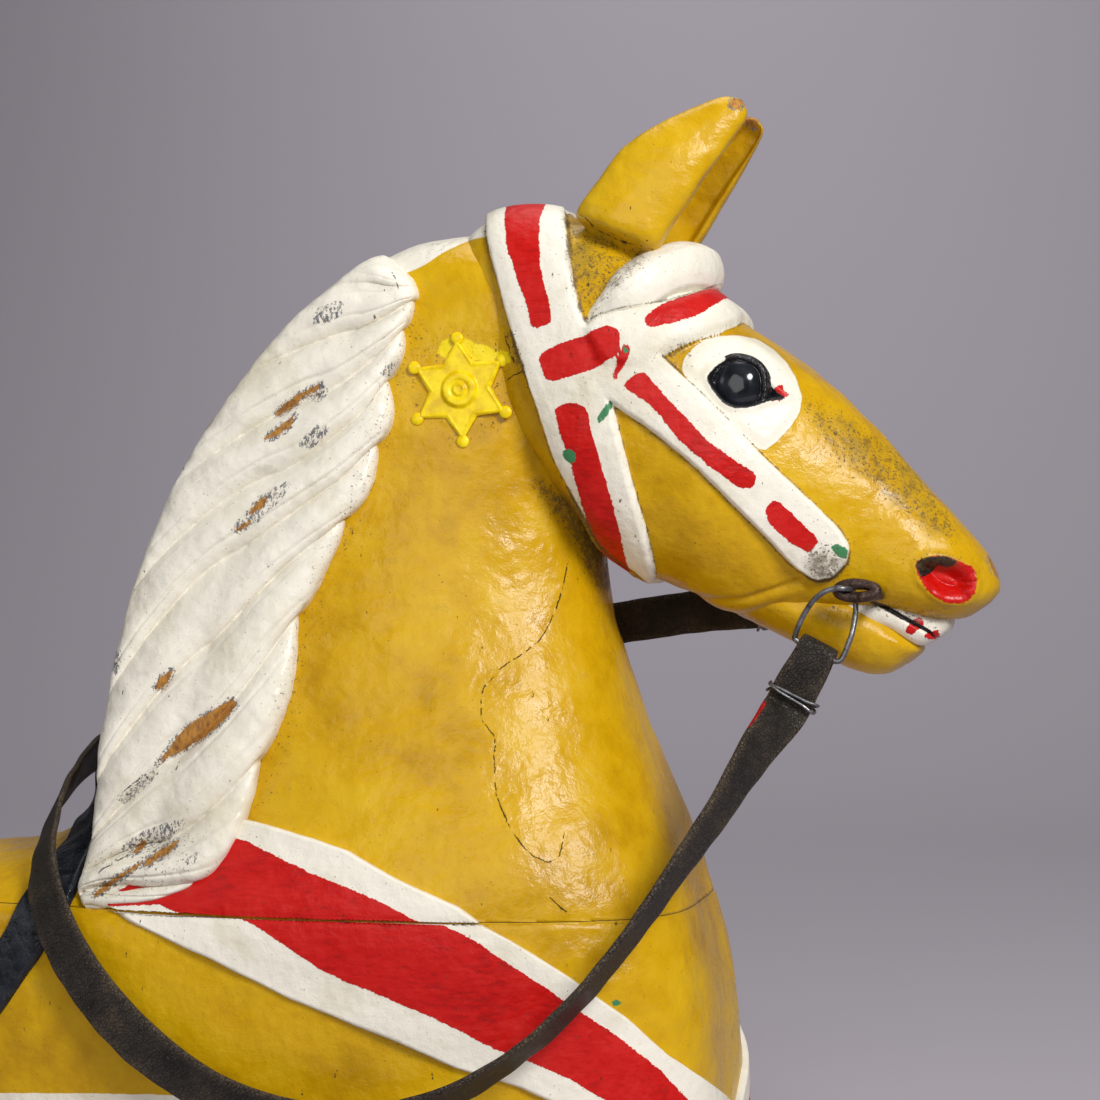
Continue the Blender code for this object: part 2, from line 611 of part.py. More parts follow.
def binding_line(middle, ahead, face):
    """The thin wire's turns round the two layers of the folded strap."""
    level = ahead.cross(face).normalized()
    proud = level.cross(ahead).normalized()
    half_wide = REIN_WIDTH / 2 + BINDING_WIRE_RADIUS + BINDING_SLACK
    half_thick = REIN_THICKNESS + FIT_GAP + BINDING_WIRE_RADIUS + BINDING_SLACK
    pitch = 2.6 * BINDING_WIRE_RADIUS
    corners = [(1, 0.8), (0.88, 1), (-0.88, 1), (-1, 0.8), (-1, -0.8), (-0.88, -1), (0.88, -1), (1, -0.8)]
    points = []
    steps = len(corners) * BINDING_TURNS
    for i in range(steps + 1):
        wide, thick = corners[i % len(corners)]
        climb = ahead * pitch * (i / len(corners) - BINDING_TURNS / 2)
        points.append(middle + level * half_wide * wide + proud * half_thick * thick + climb)
    return points


def carved_horse(home, forms, cuts, tools, wood):
    """The one carved block: neck, head, jaw, ears, mane, forelock and the raised harness."""
    body = lofted("body form", tools, BODY_SECTIONS, 27, 27)
    lofted("head form", forms, HEAD_SECTIONS, 25, 24)
    lofted("jaw form", forms, JAW_SECTIONS, 16, 12)
    lofted("teeth form", forms, TEETH_SECTIONS, 12, 8)
    mane_form("mane form", forms, skin_tree(body), 18, 61)
    forelock_form("forelock form", forms, 12, 14)
    for side, label in ((-1, "right"), (1, "left")):
        ear = ear_form(f"ear form {label}", forms, 14, 12, side)
        combine(ear, ear_scoop(f"ear scoop {label}", tools, side), "DIFFERENCE")

    bridle = side_cutter("crown strap", forms, CROWN_STRAP, [-120.0, 120.0])
    combine(bridle, side_cutter("cheek strap", tools, CHEEK_STRAP, [-121.0, 121.0]), "UNION")
    combine(bridle, side_cutter("brow band", tools, BROW_BAND, [-122.0, 122.0]), "UNION")
    combine(bridle, lofted("proud head", tools, HEAD_SECTIONS, 25, 24, STRAP_RELIEF), "INTERSECT")
    across = [-170.0, -COLLAR_FALL_FROM, 0.0, COLLAR_FALL_FROM, 170.0]
    collar = side_cutter("collar band", forms, COLLAR_BAND, across, COLLAR_FALL)
    combine(collar, lofted("proud body", tools, BODY_SECTIONS, 27, 27, COLLAR_RELIEF), "INTERSECT")
    strap = side_cutter("saddle strap", forms, SADDLE_STRAP, [-171.0, 171.0])
    combine(strap, lofted("strapped body", tools, BODY_SECTIONS, 27, 27, SADDLE_STRAP_RELIEF), "INTERSECT")

    nostril_cutters(cuts)
    mouth_cutters(cuts)
    block("below base", cuts, Vector((-1.0, -0.5, -0.5)), Vector((1.0, 0.5, 0.0)))
    block("behind cut", cuts, Vector((-1.0, -0.6, -0.6)), Vector((BUST_REAR_X, 0.6, 0.8)))

    horse = bpy.data.objects.new("carved_horse", body.data.copy())
    home.objects.link(horse)
    horse.data.materials.append(wood)
    combine_all(horse, forms, "UNION")
    return combine_all(horse, cuts, "DIFFERENCE")


def nostril_cutters(cuts):
    for side, label in ((-1, "right"), (1, "left")):
        place = carved(NOSTRIL_PLACE[0], side * 41, NOSTRIL_PLACE[1])
        ball(f"nostril {label}", cuts, place, (17, 11, 8.5), 22, 12)


def mouth_cutters(cuts):
    """A thin slit between the rows of teeth."""
    upper = [(x, z + 0.7) for x, z in MOUTH_SLIT]
    lower = [(x, z - 0.7) for x, z in reversed(MOUTH_SLIT)]
    outline = upper + [(248, 300.0), (248, 298.6)] + lower
    for side, label in ((-1, "right"), (1, "left")):
        side_cutter(f"mouth slit {label}", cuts, outline, [side * 60.0, side * 19.0])


def main():
    clear_scene()
    home = collection("carousel horse bust")
    forms = collection("joined forms")
    cuts = collection("cutters")
    tools = collection("helpers")
    wood = paint("painted wood", (0.64, 0.36, 0.01), 0.3)
    glass = paint("black glass", (0.01, 0.01, 0.012), 0.08)
    badge = paint("yellow badge", (0.85, 0.60, 0.01), 0.35, 0.3)
    iron = paint("brown iron", (0.06, 0.035, 0.025), 0.45, 0.6)
    steel = paint("grey wire", (0.28, 0.28, 0.29), 0.35, 1.0)
    leather = paint("rein leather", (0.035, 0.026, 0.02), 0.6)

    horse = carved_horse(home, forms, cuts, tools, wood)
    skin = skin_tree(horse)

    for side, label in ((-1.0, "right"), (1.0, "left")):
        place, _ = side_surface(skin, *EYE_PLACE, side)
        outward = Vector((0.12, side, 0.10)).normalized()
        seat = (place - outward * 0.002, outward)
        glass_eye(f"glass_eye_{label}", home, seat, EYE_RADIUS, EYE_DEPTH, EYE_BULGE, glass)
        wide, deep = EYE_RADIUS + EYE_SOCKET_GAP, EYE_DEPTH + EYE_SOCKET_GAP
        hide_as_tool(glass_eye(f"eye socket {label}", cuts, seat, wide, deep, 0.03))

    place, normal = side_surface(skin, *STAR_PLACE, -1.0)
    seat = (place - normal * 0.0012, normal)
    star, frame = star_plate("star_badge", home, seat, 0.0, badge)
    combine(star, star_boss("star boss", tools, frame), "UNION")
    hide_as_tool(star_plate("star seat", cuts, seat, FIT_GAP)[0])

    planes = {}
    for side, label in ((-1.0, "right"), (1.0, "left")):
        corner, _ = side_surface(skin, *BIT_PLACE, side)
        planes[label] = corner.y + side * BIT_STAND_OFF
        wire(f"bit_eye_{label}", home, bit_eye_line(corner, side), BIT_ROD_RADIUS, iron, sides=1)
        inward = Vector((0.0, -side, 0.0))
        hole = [corner + inward * (BIT_SHANK_DEPTH + FIT_GAP), corner - inward * 0.008]
        hide_as_tool(wire(f"bit hole {label}", cuts, hole, BIT_ROD_RADIUS + FIT_GAP, sides=1))
        hung = link_points(planes[label], side)
        wire(f"wire_link_{label}", home, hung, LINK_WIRE_RADIUS, steel, closed=True, sides=1)

    stations = rein_stations(planes["right"], planes["left"])
    ribbon("rein", home, stations, REIN_THICKNESS, leather)
    for label, first, second in (("right", 1, -2), ("left", -2, 1)):
        fold = stations[:15] if label == "right" else stations[-15:]
        middle = (fold[first][0] + fold[second][0]) / 2
        face = (fold[second][0] - fold[first][0]).normalized()
        ahead = (fold[0 if label == "right" else -1][0] - fold[first][0]).normalized()
        turns = binding_line(middle, ahead, face)
        wire(f"rein_binding_{label}", home, turns, BINDING_WIRE_RADIUS, steel, sides=1)


if __name__ == "__main__":
    main()
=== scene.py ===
"""Looks of the carousel horse bust: the fine carving, the layers of old paint, glass, metal and leather.
The carving is given in millimetres on the carver's side view, x forward from the neck's middle, and its
painted outlines in pixels of the photograph, as its camera sees the right side."""

import math

import bmesh
import bpy
import numpy as np
from mathutils import Matrix, Vector


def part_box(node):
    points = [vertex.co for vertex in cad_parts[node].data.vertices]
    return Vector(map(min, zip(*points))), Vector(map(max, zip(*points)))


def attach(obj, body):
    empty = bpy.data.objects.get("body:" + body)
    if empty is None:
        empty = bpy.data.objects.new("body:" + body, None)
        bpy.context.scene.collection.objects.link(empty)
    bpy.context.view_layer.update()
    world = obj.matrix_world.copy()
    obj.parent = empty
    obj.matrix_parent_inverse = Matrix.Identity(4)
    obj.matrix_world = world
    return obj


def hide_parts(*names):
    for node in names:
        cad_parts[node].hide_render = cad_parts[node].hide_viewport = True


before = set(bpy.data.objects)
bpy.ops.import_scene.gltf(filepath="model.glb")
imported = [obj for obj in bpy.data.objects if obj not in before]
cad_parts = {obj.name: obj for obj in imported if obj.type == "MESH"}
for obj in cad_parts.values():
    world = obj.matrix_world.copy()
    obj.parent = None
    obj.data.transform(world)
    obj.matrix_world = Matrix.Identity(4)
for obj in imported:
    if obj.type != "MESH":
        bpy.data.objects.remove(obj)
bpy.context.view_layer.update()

# Driving sizes, in metres unless a name says otherwise
MM = 0.001
NECK_MIDDLE_X = 0.059
REAR_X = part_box("carved_horse")[0].x
JOINT_HEIGHT = 0.1385
JOINT_GAP = 0.0003
COLLAR_JOINT_GAP = 0.00035
COLLAR_REAR_X = -0.190
EYE_FORWARD = 0.12
EYE_UPWARD = 0.10
EYE_RADIUS = 0.0185
EYE_BULGE = 0.0072
EYE_CAD_BULGE = 0.0065
EYE_LID_RADIUS = 0.0138
EYE_RING_HEIGHT = 0.0034
EYE_EDGE_DEPTH = 0.002
EYE_BACK_DEPTH = 0.006
STAR_RADIUS = 0.0340
STAR_WAIST = 0.0187
STAR_BALL_RADIUS = 0.0038
STAR_BALL_FLATNESS = 0.42
STAR_THICKNESS = 0.0024
STAR_BOSS_RADIUS = 0.0105
STAR_BOSS_HEIGHT = 0.0024
STAR_POINTS = 6
STAR_LEAN_DEGREES = -4.0
STAR_PIXEL = (461, 390)
STAR_SEAT_MM = 0.9
BIT_ROD_RADIUS = 0.0031
BIT_RING_LENGTH = 0.022
BIT_RING_HEIGHT = 0.0075
BIT_STAND_OFF = 0.017
BIT_SHANK_DEPTH = 0.012
BIT_NECK = 0.004
BIT_RING_SPREAD = 0.0035
BIT_RING_STEPS = 12
BIT_RING_START_DEGREES = -52
BIT_RING_STEP_DEGREES = 33
LINK_WIRE_RADIUS = 0.0016
LINK_CORNER_RADIUS = 0.003
REIN_WIDTH = 0.026
REIN_FOLD_WIDTH = 0.022
REIN_THICKNESS = 0.004
REIN_TIP_LENGTH = 0.008
REIN_TIP_ROWS = 6.0
REIN_WEAR = 0.00035
BINDING_WIRE_RADIUS = 0.0009
BINDING_SLACK = 0.0009
BINDING_TURNS = 2
BINDING_TURN_STEPS = 48
FIT_GAP = 0.0004
STRAP_RELIEF_MM = 4.6
COLLAR_RELIEF_MM = 4.5
SADDLE_STRAP_RELIEF_MM = 4.5
BURY_MM = 3.5
# darker just outside the straps' edges: dirt, and painted shade where a strap meets the skin
STRAP_EDGE_DIRT_AND_SHADE = 1.3
RING_RADIANS_PER_METRE = 900.0
BACK_SHARE = 0.2
HALVINGS = 26
SAWN = 1
UNPAINTED = -14.0
PRIMER_SHY_PX = 1.4
SIDES = ((-1.0, "right"), (1.0, "left"))
HORSE = ("painted_wood", "carved_horse")
DETAIL = 1.0

# The camera: level, a little ahead of the horse's right side, with a long lens
PHOTO_PIXELS = 1100
CAMERA_AIM = Vector((0.059, 0.0, 0.345))
CAMERA_DISTANCE = 1.5
CAMERA_TURN = math.radians(13.5)
CAMERA_FOCUS_PIXELS = 2500.0
SENSOR_MM = 36.0

# The studio: each light's place, its disk's width in metres, its power in watts and where it points
BUST_MIDDLE = (0.0, 0.0, 0.32)
SOFTBOXES = [
    ("key softbox", (1.5, -1.55, 1.55), 0.8, 50.0, BUST_MIDDLE),
    ("front softbox", (0.1, -2.3, 1.0), 1.6, 13.0, BUST_MIDDLE),
    ("left softbox", (-1.8, -1.6, 1.4), 1.0, 4.0, BUST_MIDDLE),
    ("top softbox", (0.0, 0.3, 2.2), 1.2, 12.0, BUST_MIDDLE),
    ("backdrop softbox", (-0.4, 1.7, 2.1), 1.2, 13.0, (-0.6, 3.0, 0.9)),
]
STUDIO_COLOUR = (0.80, 0.79, 0.82)
STUDIO_LIGHT = 0.14
PAPER_COLOUR = (0.42, 0.385, 0.43)
SWEEP_START_Y = -1.0
SWEEP_HALF_WIDTH = 4.5
SWEEP_FLOOR = 2.6
SWEEP_BEND_RADIUS = 1.4
SWEEP_WALL = 2.6
SWEEP_FLOOR_ROWS = 0.45
SWEEP_BEND_ROWS = 0.25

# Cross-sections: back edge x, z, front edge x, z, half width, roundness at the back edge and the front
# edge, and how far along the section is widest.
BODY_SECTIONS = [
    (-480, -40, 113, -60, 131, 0.30, 0.22, 0.5),
    (-480, 30, 112, 0, 131, 0.30, 0.22, 0.5),
    (-480, 105, 110, 40, 132, 0.34, 0.22, 0.5),
    (-455, 150, 107, 72, 131, 0.42, 0.22, 0.52),
    (-392, 158, 103, 100, 130, 0.46, 0.23, 0.55),
    (-345, 162, 96, 128, 128, 0.48, 0.25, 0.56),
    (-308, 171, 88, 156, 124, 0.48, 0.27, 0.56),
    (-283, 190, 79, 184, 117, 0.46, 0.30, 0.55),
    (-279, 222, 69, 210, 107, 0.44, 0.33, 0.55),
    (-271, 262, 58, 240, 96, 0.42, 0.36, 0.55),
    (-262, 302, 48, 272, 87, 0.42, 0.38, 0.55),
    (-251, 342, 39, 300, 79, 0.42, 0.40, 0.55),
    (-238, 380, 34, 328, 72, 0.42, 0.42, 0.55),
    (-217, 416, 32, 354, 66, 0.42, 0.42, 0.55),
    (-191, 449, 33, 380, 62, 0.42, 0.42, 0.55),
    (-160, 480, 36, 405, 59, 0.42, 0.42, 0.55),
    (-124, 508, 40, 430, 56, 0.40, 0.42, 0.55),
    (-80, 530, 46, 455, 52, 0.40, 0.42, 0.55),
    (-36, 534, 50, 474, 44, 0.42, 0.42, 0.55),
]
BODY_ROW_MM = 30.0
CHEST_BLOCK_ROWS = (0.7, 5.9)
NECK_BLOCK_ROWS = (2.2, 18.0)
HEAD_SECTIONS = [
    (-60, 517, -8, 395, 44, 0.34, 0.40, 0.6),
    (-36, 541, 24, 360, 60, 0.32, 0.38, 0.6),
    (-3, 546, 40, 341, 66, 0.30, 0.36, 0.6),
    (37, 537, 60, 331, 69, 0.30, 0.36, 0.58),
    (74, 514, 82, 322, 70, 0.30, 0.37, 0.55),
    (103, 488, 101, 313, 70, 0.32, 0.36, 0.50),
    (127, 472, 117, 307, 66, 0.34, 0.36, 0.47),
    (149, 457, 131, 303, 60, 0.37, 0.36, 0.46),
    (171, 440, 146, 303, 54, 0.40, 0.35, 0.48),
    (192, 420, 163, 305, 49, 0.42, 0.34, 0.52),
    (213, 397, 183, 309, 45, 0.42, 0.32, 0.56),
    (233, 374, 206, 309, 43, 0.42, 0.32, 0.58),
    (249, 356, 229, 305, 40, 0.42, 0.36, 0.58),
    (260, 341, 247, 306, 33, 0.44, 0.44, 0.56),
    (266, 328, 259, 313, 19, 0.48, 0.48, 0.5),
    (266, 321, 266, 321, 0, 0.5, 0.5, 0.5),
]
JAW_SECTIONS = [
    (88, 352, 82, 330, 28, 0.4, 0.4, 0.5),
    (118, 346, 108, 311, 36, 0.4, 0.42, 0.5),
    (146, 336, 136, 297, 36, 0.4, 0.42, 0.5),
    (172, 326, 163, 284, 34, 0.4, 0.42, 0.5),
    (190, 319, 184, 275, 32, 0.4, 0.42, 0.45),
    (204, 307, 201, 273, 29, 0.4, 0.44, 0.4),
    (214, 297, 213, 279, 24, 0.4, 0.46, 0.4),
    (222, 291, 221, 285, 13, 0.45, 0.5, 0.5),
    (223, 288, 223, 288, 0, 0.5, 0.5, 0.5),
]
TEETH_SECTIONS = [
    (174, 322, 176, 304, 28, 0.2, 0.2, 0.5),
    (204, 318, 204, 298, 28, 0.2, 0.2, 0.5),
    (226, 311, 222, 290, 24, 0.2, 0.2, 0.5),
    (238, 308, 236, 297, 17, 0.25, 0.25, 0.5),
    (240, 302, 240, 302, 0, 0.5, 0.5, 0.5),
]
# Rear edge x, z, front edge x, z, half thickness, roundness twice, widest, how far the middle leans out.
EAR_SECTIONS = [
    (37, 514, 58, 506, 5, 0.42, 0.42, 0.5, 26),
    (30, 532, 70, 514, 8, 0.42, 0.42, 0.5, 36),
    (27, 541, 76, 520, 14, 0.42, 0.36, 0.5, 45),
    (40, 560, 86, 536, 13, 0.42, 0.34, 0.5, 44),
    (56, 579, 97, 553, 12, 0.42, 0.34, 0.5, 42),
    (77, 593, 108, 569, 10, 0.42, 0.34, 0.5, 38),
    (97, 602, 118, 584, 8, 0.42, 0.36, 0.5, 34),
    (112, 606, 124, 596, 5, 0.44, 0.40, 0.5, 32),
    (121, 604, 121, 604, 0, 0.5, 0.5, 0.5, 31),
]
# Left edge x, z and right edge x, z of the rolled mane, and its proud height.
MANE_SECTIONS = [
    (-246, 137, -246, 137, 2),
    (-254, 149, -212, 143, 9),
    (-252, 165, -183, 152, 15),
    (-251, 188, -166, 164, 18),
    (-251, 216, -154, 190, 20),
    (-249, 248, -143, 224, 20),
    (-245, 280, -133, 262, 20),
    (-239, 312, -128, 298, 19),
    (-230, 344, -119, 330, 19),
    (-218, 376, -103, 360, 19),
    (-201, 408, -91, 386, 19),
    (-180, 440, -82, 416, 19),
    (-157, 470, -80, 442, 18),
    (-131, 496, -74, 467, 17),
    (-112, 512, -70, 485, 16),
    (-102, 519, -68, 496, 14),
    (-94, 521, -72, 505, 9),
]
MANE_SINK_MM = 22.0
MANE_LOCKS = 10
MANE_SLANT = 0.165
MANE_LOCK_DEPTH_MM = 9.0
MANE_OUTER_SHARE = 0.72
# The right half of the forelock's middle line, from the right ear to the forehead: x, y, z and its radius.
FORELOCK_PATH = [(35, -61, 475, 3), (47, -60, 483, 9), (58, -56, 490, 15), (72, -44, 501, 17),
                 (83, -22, 507, 19), (87, 0, 509, 19)]
BIT_PLACE = (201, 319.5)
LINK_LINE = [(180.4, 281, 2), (187, 297, -1), (189, 312, -5.5), (187.2, 322.6, -5.4), (186, 323.4, 5.4),
             (176, 323.6, 7), (167, 318, 7), (159.5, 307, 4.5), (154.6, 294.6, 2)]
LINK_PIVOT = (186.5, 323.3)
REIN_BAR = (167.5, 287.8)
REIN_BINDING = (154, 262)
LEFT_LINK_SWING = math.radians(52.0)
# The rein's route from the right link to the left one: x, y, z, then the way its flat face looks.
REIN_ROUTE = [
    (140, -80, 238, 0.52, -0.80, -0.28),
    (122, -98, 206, 0.74, -0.52, -0.42),
    (98, -120, 168, 0.85, -0.30, -0.45),
    (70, -140, 126, 0.85, -0.24, -0.50),
    (33, -151, 84, 0.72, -0.28, -0.62),
    (-10, -155, 54, 0.45, -0.42, -0.78),
    (-58, -156, 36, 0.15, -0.62, -0.75),
    (-108, -155, 33, 0.00, -0.85, -0.50),
    (-157, -153, 44, 0.00, -0.96, -0.25),
    (-200, -149, 68, 0.00, -1.00, 0.05),
    (-234, -144, 99, -0.10, -0.99, 0.10),
    (-256, -137, 128, -0.25, -0.96, 0.15),
    (-271, -123, 152, -0.50, -0.80, 0.30),
    (-281, -100, 173, -0.72, -0.55, 0.42),
    (-287, -68, 193, -0.85, -0.30, 0.42),
    (-292, -30, 208, -0.90, 0.00, 0.40),
    (-292, 10, 219, -0.90, 0.20, 0.38),
    (-281, 56, 227, -0.75, 0.60, 0.25),
    (-250, 87, 235, -0.40, 0.90, 0.15),
    (-195, 102, 248, -0.10, 0.99, 0.05),
    (-130, 103, 265, 0.00, 1.00, 0.00),
    (-60, 98, 282, 0.00, 1.00, 0.00),
    (10, 86, 296, 0.05, 1.00, 0.00),
    (70, 72, 306, 0.05, 1.00, 0.00),
]

# Outlines of the raised straps of the bridle, in the photograph's pixels
CROWN_STRAP = [(485, 180), (486, 220), (487, 242), (498, 284), (507, 317), (525, 373), (541, 421), (554, 461),
               (573, 496), (584, 517), (597, 542), (610, 555), (634, 571), (655, 590), (656, 572), (648, 534),
               (634, 488), (621, 437), (613, 405), (604, 370), (592, 340), (584, 320), (580, 309), (573, 279),
               (567, 234), (565, 209), (564, 180)]
CHEEK_STRAP = [(590, 330), (620, 330), (663, 357), (681, 374), (706, 398), (738, 430), (765, 458), (809, 499),
               (839, 528), (850, 546), (847, 563), (833, 578), (815, 581), (792, 566), (765, 537), (724, 496),
               (692, 464), (648, 428), (613, 405), (590, 380)]
BROW_BAND = [(580, 330), (596, 316), (622, 308), (664, 302), (699, 292), (723, 284), (760, 276), (764, 312),
             (736, 326), (720, 333), (692, 342), (678, 348), (663, 357), (640, 372), (600, 372)]
FORELOCK_FOOT = [(578, 326), (612, 299), (640, 279), (660, 263), (682, 246), (720, 240), (740, 286),
                 (722, 300), (664, 312), (600, 345)]
EYE_WHITE = [(681, 372), (684, 358), (693, 347), (706, 339), (722, 336), (738, 335), (757, 339), (776, 351),
             (788, 364), (797, 380), (802, 396), (800, 412), (790, 428), (777, 441), (763, 452), (738, 433),
             (706, 402)]
EYE_RIM = [(706, 377), (717, 365), (730, 358), (746, 358), (756, 367), (766, 381), (777, 392), (787, 399),
           (768, 401), (758, 405), (747, 408), (733, 408), (722, 402), (711, 388)]
LIP_LINE = [(862, 598), (884, 604), (906, 616), (934, 632), (933, 635), (903, 620), (881, 608)]
# painted shade: black along the nostril's top edge, where the hollow is shaded
NOSTRIL_SHADE = [(915, 563), (926, 557), (945, 556), (958, 562), (949, 567), (937, 565), (931, 573),
                 (921, 578)]
FLANK_WHITE = [(-420, 1094), (60, 1093), (186, 1095), (200, 1112), (60, 1124), (-420, 1130)]
CREST_WHITE = [(320, 262), (350, 240), (400, 215), (440, 200), (500, 190), (500, 232), (486, 236), (462, 243),
               (440, 254), (420, 268), (402, 275), (380, 262), (350, 258)]
NOSTRIL = [(917, 563), (926, 559), (937, 558), (956, 562), (972, 570), (975, 584), (966, 600), (947, 600),
           (933, 592), (922, 580)]
CHEEK_CREASE = [(655, 585), (690, 594), (715, 600), (742, 600), (765, 593), (803, 580)]
TEETH_SLIT = [(870, 596), (883, 605), (898, 614), (909, 622), (923, 630), (940, 640)]
REIN_RED_DAB = [(744, 722), (749, 712), (758, 700), (767, 702), (758, 716), (749, 728)]
STRAPS = [CROWN_STRAP, CHEEK_STRAP, BROW_BAND]
WHITE_AREAS = [*STRAPS, FORELOCK_FOOT, EYE_WHITE, CREST_WHITE, FLANK_WHITE]
# black on the eye's rims and along the lip line, and black as painted shade at the nostril's top edge
BLACK_AND_SHADE_AREAS = [EYE_RIM, LIP_LINE, NOSTRIL_SHADE]
# Red stripes, and red dabs that the brush left
RED_AREAS = [
    [(509, 185), (510, 208), (509, 231), (511, 250), (516, 263), (522, 283), (526, 291), (532, 309),
     (537, 329), (553, 325), (552, 311), (547, 297), (544, 280), (541, 269), (539, 236), (540, 221),
     (546, 208), (547, 185)],
    [(543, 356), (567, 345), (592, 337), (610, 330), (619, 334), (620, 341), (620, 356), (594, 369),
     (560, 380), (549, 379)],
    [(559, 411), (567, 406), (577, 404), (588, 410), (594, 437), (608, 480), (621, 526), (632, 568),
     (626, 570), (610, 552), (594, 519), (578, 470)],
    [(626, 349), (632, 350), (628, 362), (621, 371), (617, 380), (616, 377), (620, 366)],
    [(646, 324), (660, 311), (684, 303), (707, 296), (722, 290), (722, 305), (706, 314), (690, 322),
     (671, 327), (649, 330)],
    [(625, 387), (636, 378), (645, 375), (654, 385), (663, 396), (682, 416), (707, 443), (722, 454),
     (736, 464), (754, 475), (751, 486), (739, 486), (713, 467), (694, 451), (677, 434), (657, 408),
     (639, 396)],
    [(765, 508), (774, 500), (795, 519), (817, 539), (809, 549), (792, 540), (771, 522)],
    [(907, 630), (913, 622), (920, 618), (923, 624), (918, 628), (912, 633)],
    [(925, 636), (937, 630), (939, 635), (933, 638)],
    [(767, 396), (775, 390), (781, 388), (778, 394), (786, 397), (778, 401), (768, 402)],
]
COLLAR_UPPER_EDGE = [(-249, 206), (-151, 195), (-87, 177), (-59, 163), (-24, 148), (-7, 137), (33, 116),
                     (67, 95), (88, 78), (120, 62), (150, 55)]
COLLAR_LOWER_EDGE = [(-249, 146), (-218, 131), (-166, 113), (-120, 92), (-57, 70), (-23, 55), (12, 46),
                     (34, 38), (60, 14), (90, -8), (150, -30)]
SADDLE_STRAP_REAR_EDGE = [(-283, 188), (-284, 176), (-286, 160), (-290, 140), (-302, 116), (-318, 99),
                          (-360, 70), (-420, 30)]
SADDLE_STRAP_FRONT_EDGE = [(-279, 220), (-266, 200), (-258, 175), (-256, 153), (-258, 135), (-266, 119),
                           (-283, 95), (-310, 61), (-345, 30), (-420, -14)]
COLLAR_FALL = 0.42
COLLAR_FALL_FROM_MM = 118.0
COLLAR_TURNS = (0.06, 0.94)
COLLAR_RED_UPPER_BLOCK = [(100, 905), (133, 884), (160, 870), (210, 850), (238, 838), (300, 870), (345, 889),
                          (380, 903), (430, 930), (430, 980), (250, 980), (170, 902)]
COLLAR_RED_LOWER_BLOCK = [(190, 860), (226, 908), (265, 930), (296, 952), (330, 974), (420, 1010),
                          (500, 1050), (560, 1072), (640, 1120), (760, 1180), (780, 1150), (700, 1110),
                          (684, 1098), (660, 1072), (620, 1040), (560, 1000), (500, 960), (470, 940),
                          (440, 926), (400, 860)]
# Where the paint is gone down to wood or primer
BARE_AREAS = [
    [(155, 765), (163, 756), (170, 746), (182, 730), (198, 718), (219, 708), (231, 699), (238, 702),
     (227, 718), (211, 733), (194, 744), (172, 756)],
    [(274, 417), (280, 409), (293, 398), (305, 391), (320, 384), (318, 390), (305, 396), (293, 407),
     (282, 413)],
    [(263, 439), (274, 430), (288, 420), (297, 413), (293, 424), (280, 435), (271, 440)],
    [(249, 511), (259, 499), (268, 495), (267, 502), (259, 511), (251, 514)],
    [(233, 531), (242, 524), (251, 520), (248, 526), (238, 532)],
    [(93, 895), (105, 884), (122, 873), (141, 862), (137, 868), (120, 879), (104, 891), (95, 898)],
    [(143, 864), (156, 852), (168, 845), (180, 839), (172, 850), (158, 860), (147, 867)],
    [(132, 852), (139, 844), (146, 840), (143, 848), (135, 854)],
    [(154, 689), (160, 677), (174, 668), (170, 680), (161, 689)],
    [(732, 99), (742, 98), (744, 104), (738, 110), (728, 105)],
    [(748, 116), (758, 111), (762, 118), (757, 128), (748, 130)],
    [(988, 556), (997, 562), (1001, 576), (996, 576), (991, 566)],
]
PRIMER_AREAS = [
    [(312, 322), (320, 308), (343, 300), (340, 314), (325, 324)],
    [(266, 496), (280, 484), (284, 491), (272, 500)],
    [(298, 446), (318, 424), (330, 428), (312, 448)],
    [(305, 398), (322, 386), (330, 390), (314, 404)],
    [(184, 864), (196, 853), (196, 862)],
    [(118, 800), (140, 780), (160, 768), (150, 782), (126, 802)],
    [(112, 672), (118, 650), (122, 656), (118, 676)],
    [(380, 374), (394, 362), (392, 376)],
    [(120, 850), (150, 828), (190, 818), (170, 838), (130, 858)],
    [(230, 530), (262, 500), (290, 480), (280, 500), (246, 530)],
]
GREEN_CHIPS = [
    [(562, 452), (568, 448), (575, 452), (576, 461), (570, 464), (564, 459)],
    [(596, 420), (603, 408), (611, 398), (613, 406), (606, 417), (599, 424)],
    [(831, 546), (838, 544), (848, 549), (847, 559), (840, 558), (832, 551)],
    [(624, 346), (630, 349), (627, 354), (622, 351)],
    [(610, 1001), (618, 999), (622, 1004), (614, 1007)],
]
LEMON_SMEAR = [(438, 344), (455, 336), (470, 340), (492, 350), (508, 352), (512, 362), (498, 366), (478, 362),
               (446, 360), (439, 352)]
# Hairline cracks in the paint and open joints in the wood
CRACKS = [
    [(568, 562), (562, 590), (556, 610), (540, 640), (522, 654), (505, 665), (483, 688), (481, 705),
     (482, 720), (495, 738), (494, 765), (496, 794), (505, 817), (511, 830), (522, 846), (533, 856),
     (548, 862), (559, 858), (565, 833)],
    [(548, 896), (558, 906), (569, 914)],
    [(493, 389), (503, 383), (511, 377), (524, 370)],
    [(504, 333), (510, 352), (516, 366)],
    [(883, 605), (898, 614), (909, 622), (923, 630), (936, 638)],
    [(390, 271), (396, 277), (399, 290)],
    [(173, 774), (177, 768), (180, 758)],
    [(116, 798), (134, 783), (152, 768)],
    [(96, 874), (118, 860), (134, 851)],
    [(579, 213), (600, 232), (622, 241), (640, 246), (655, 251)],
]
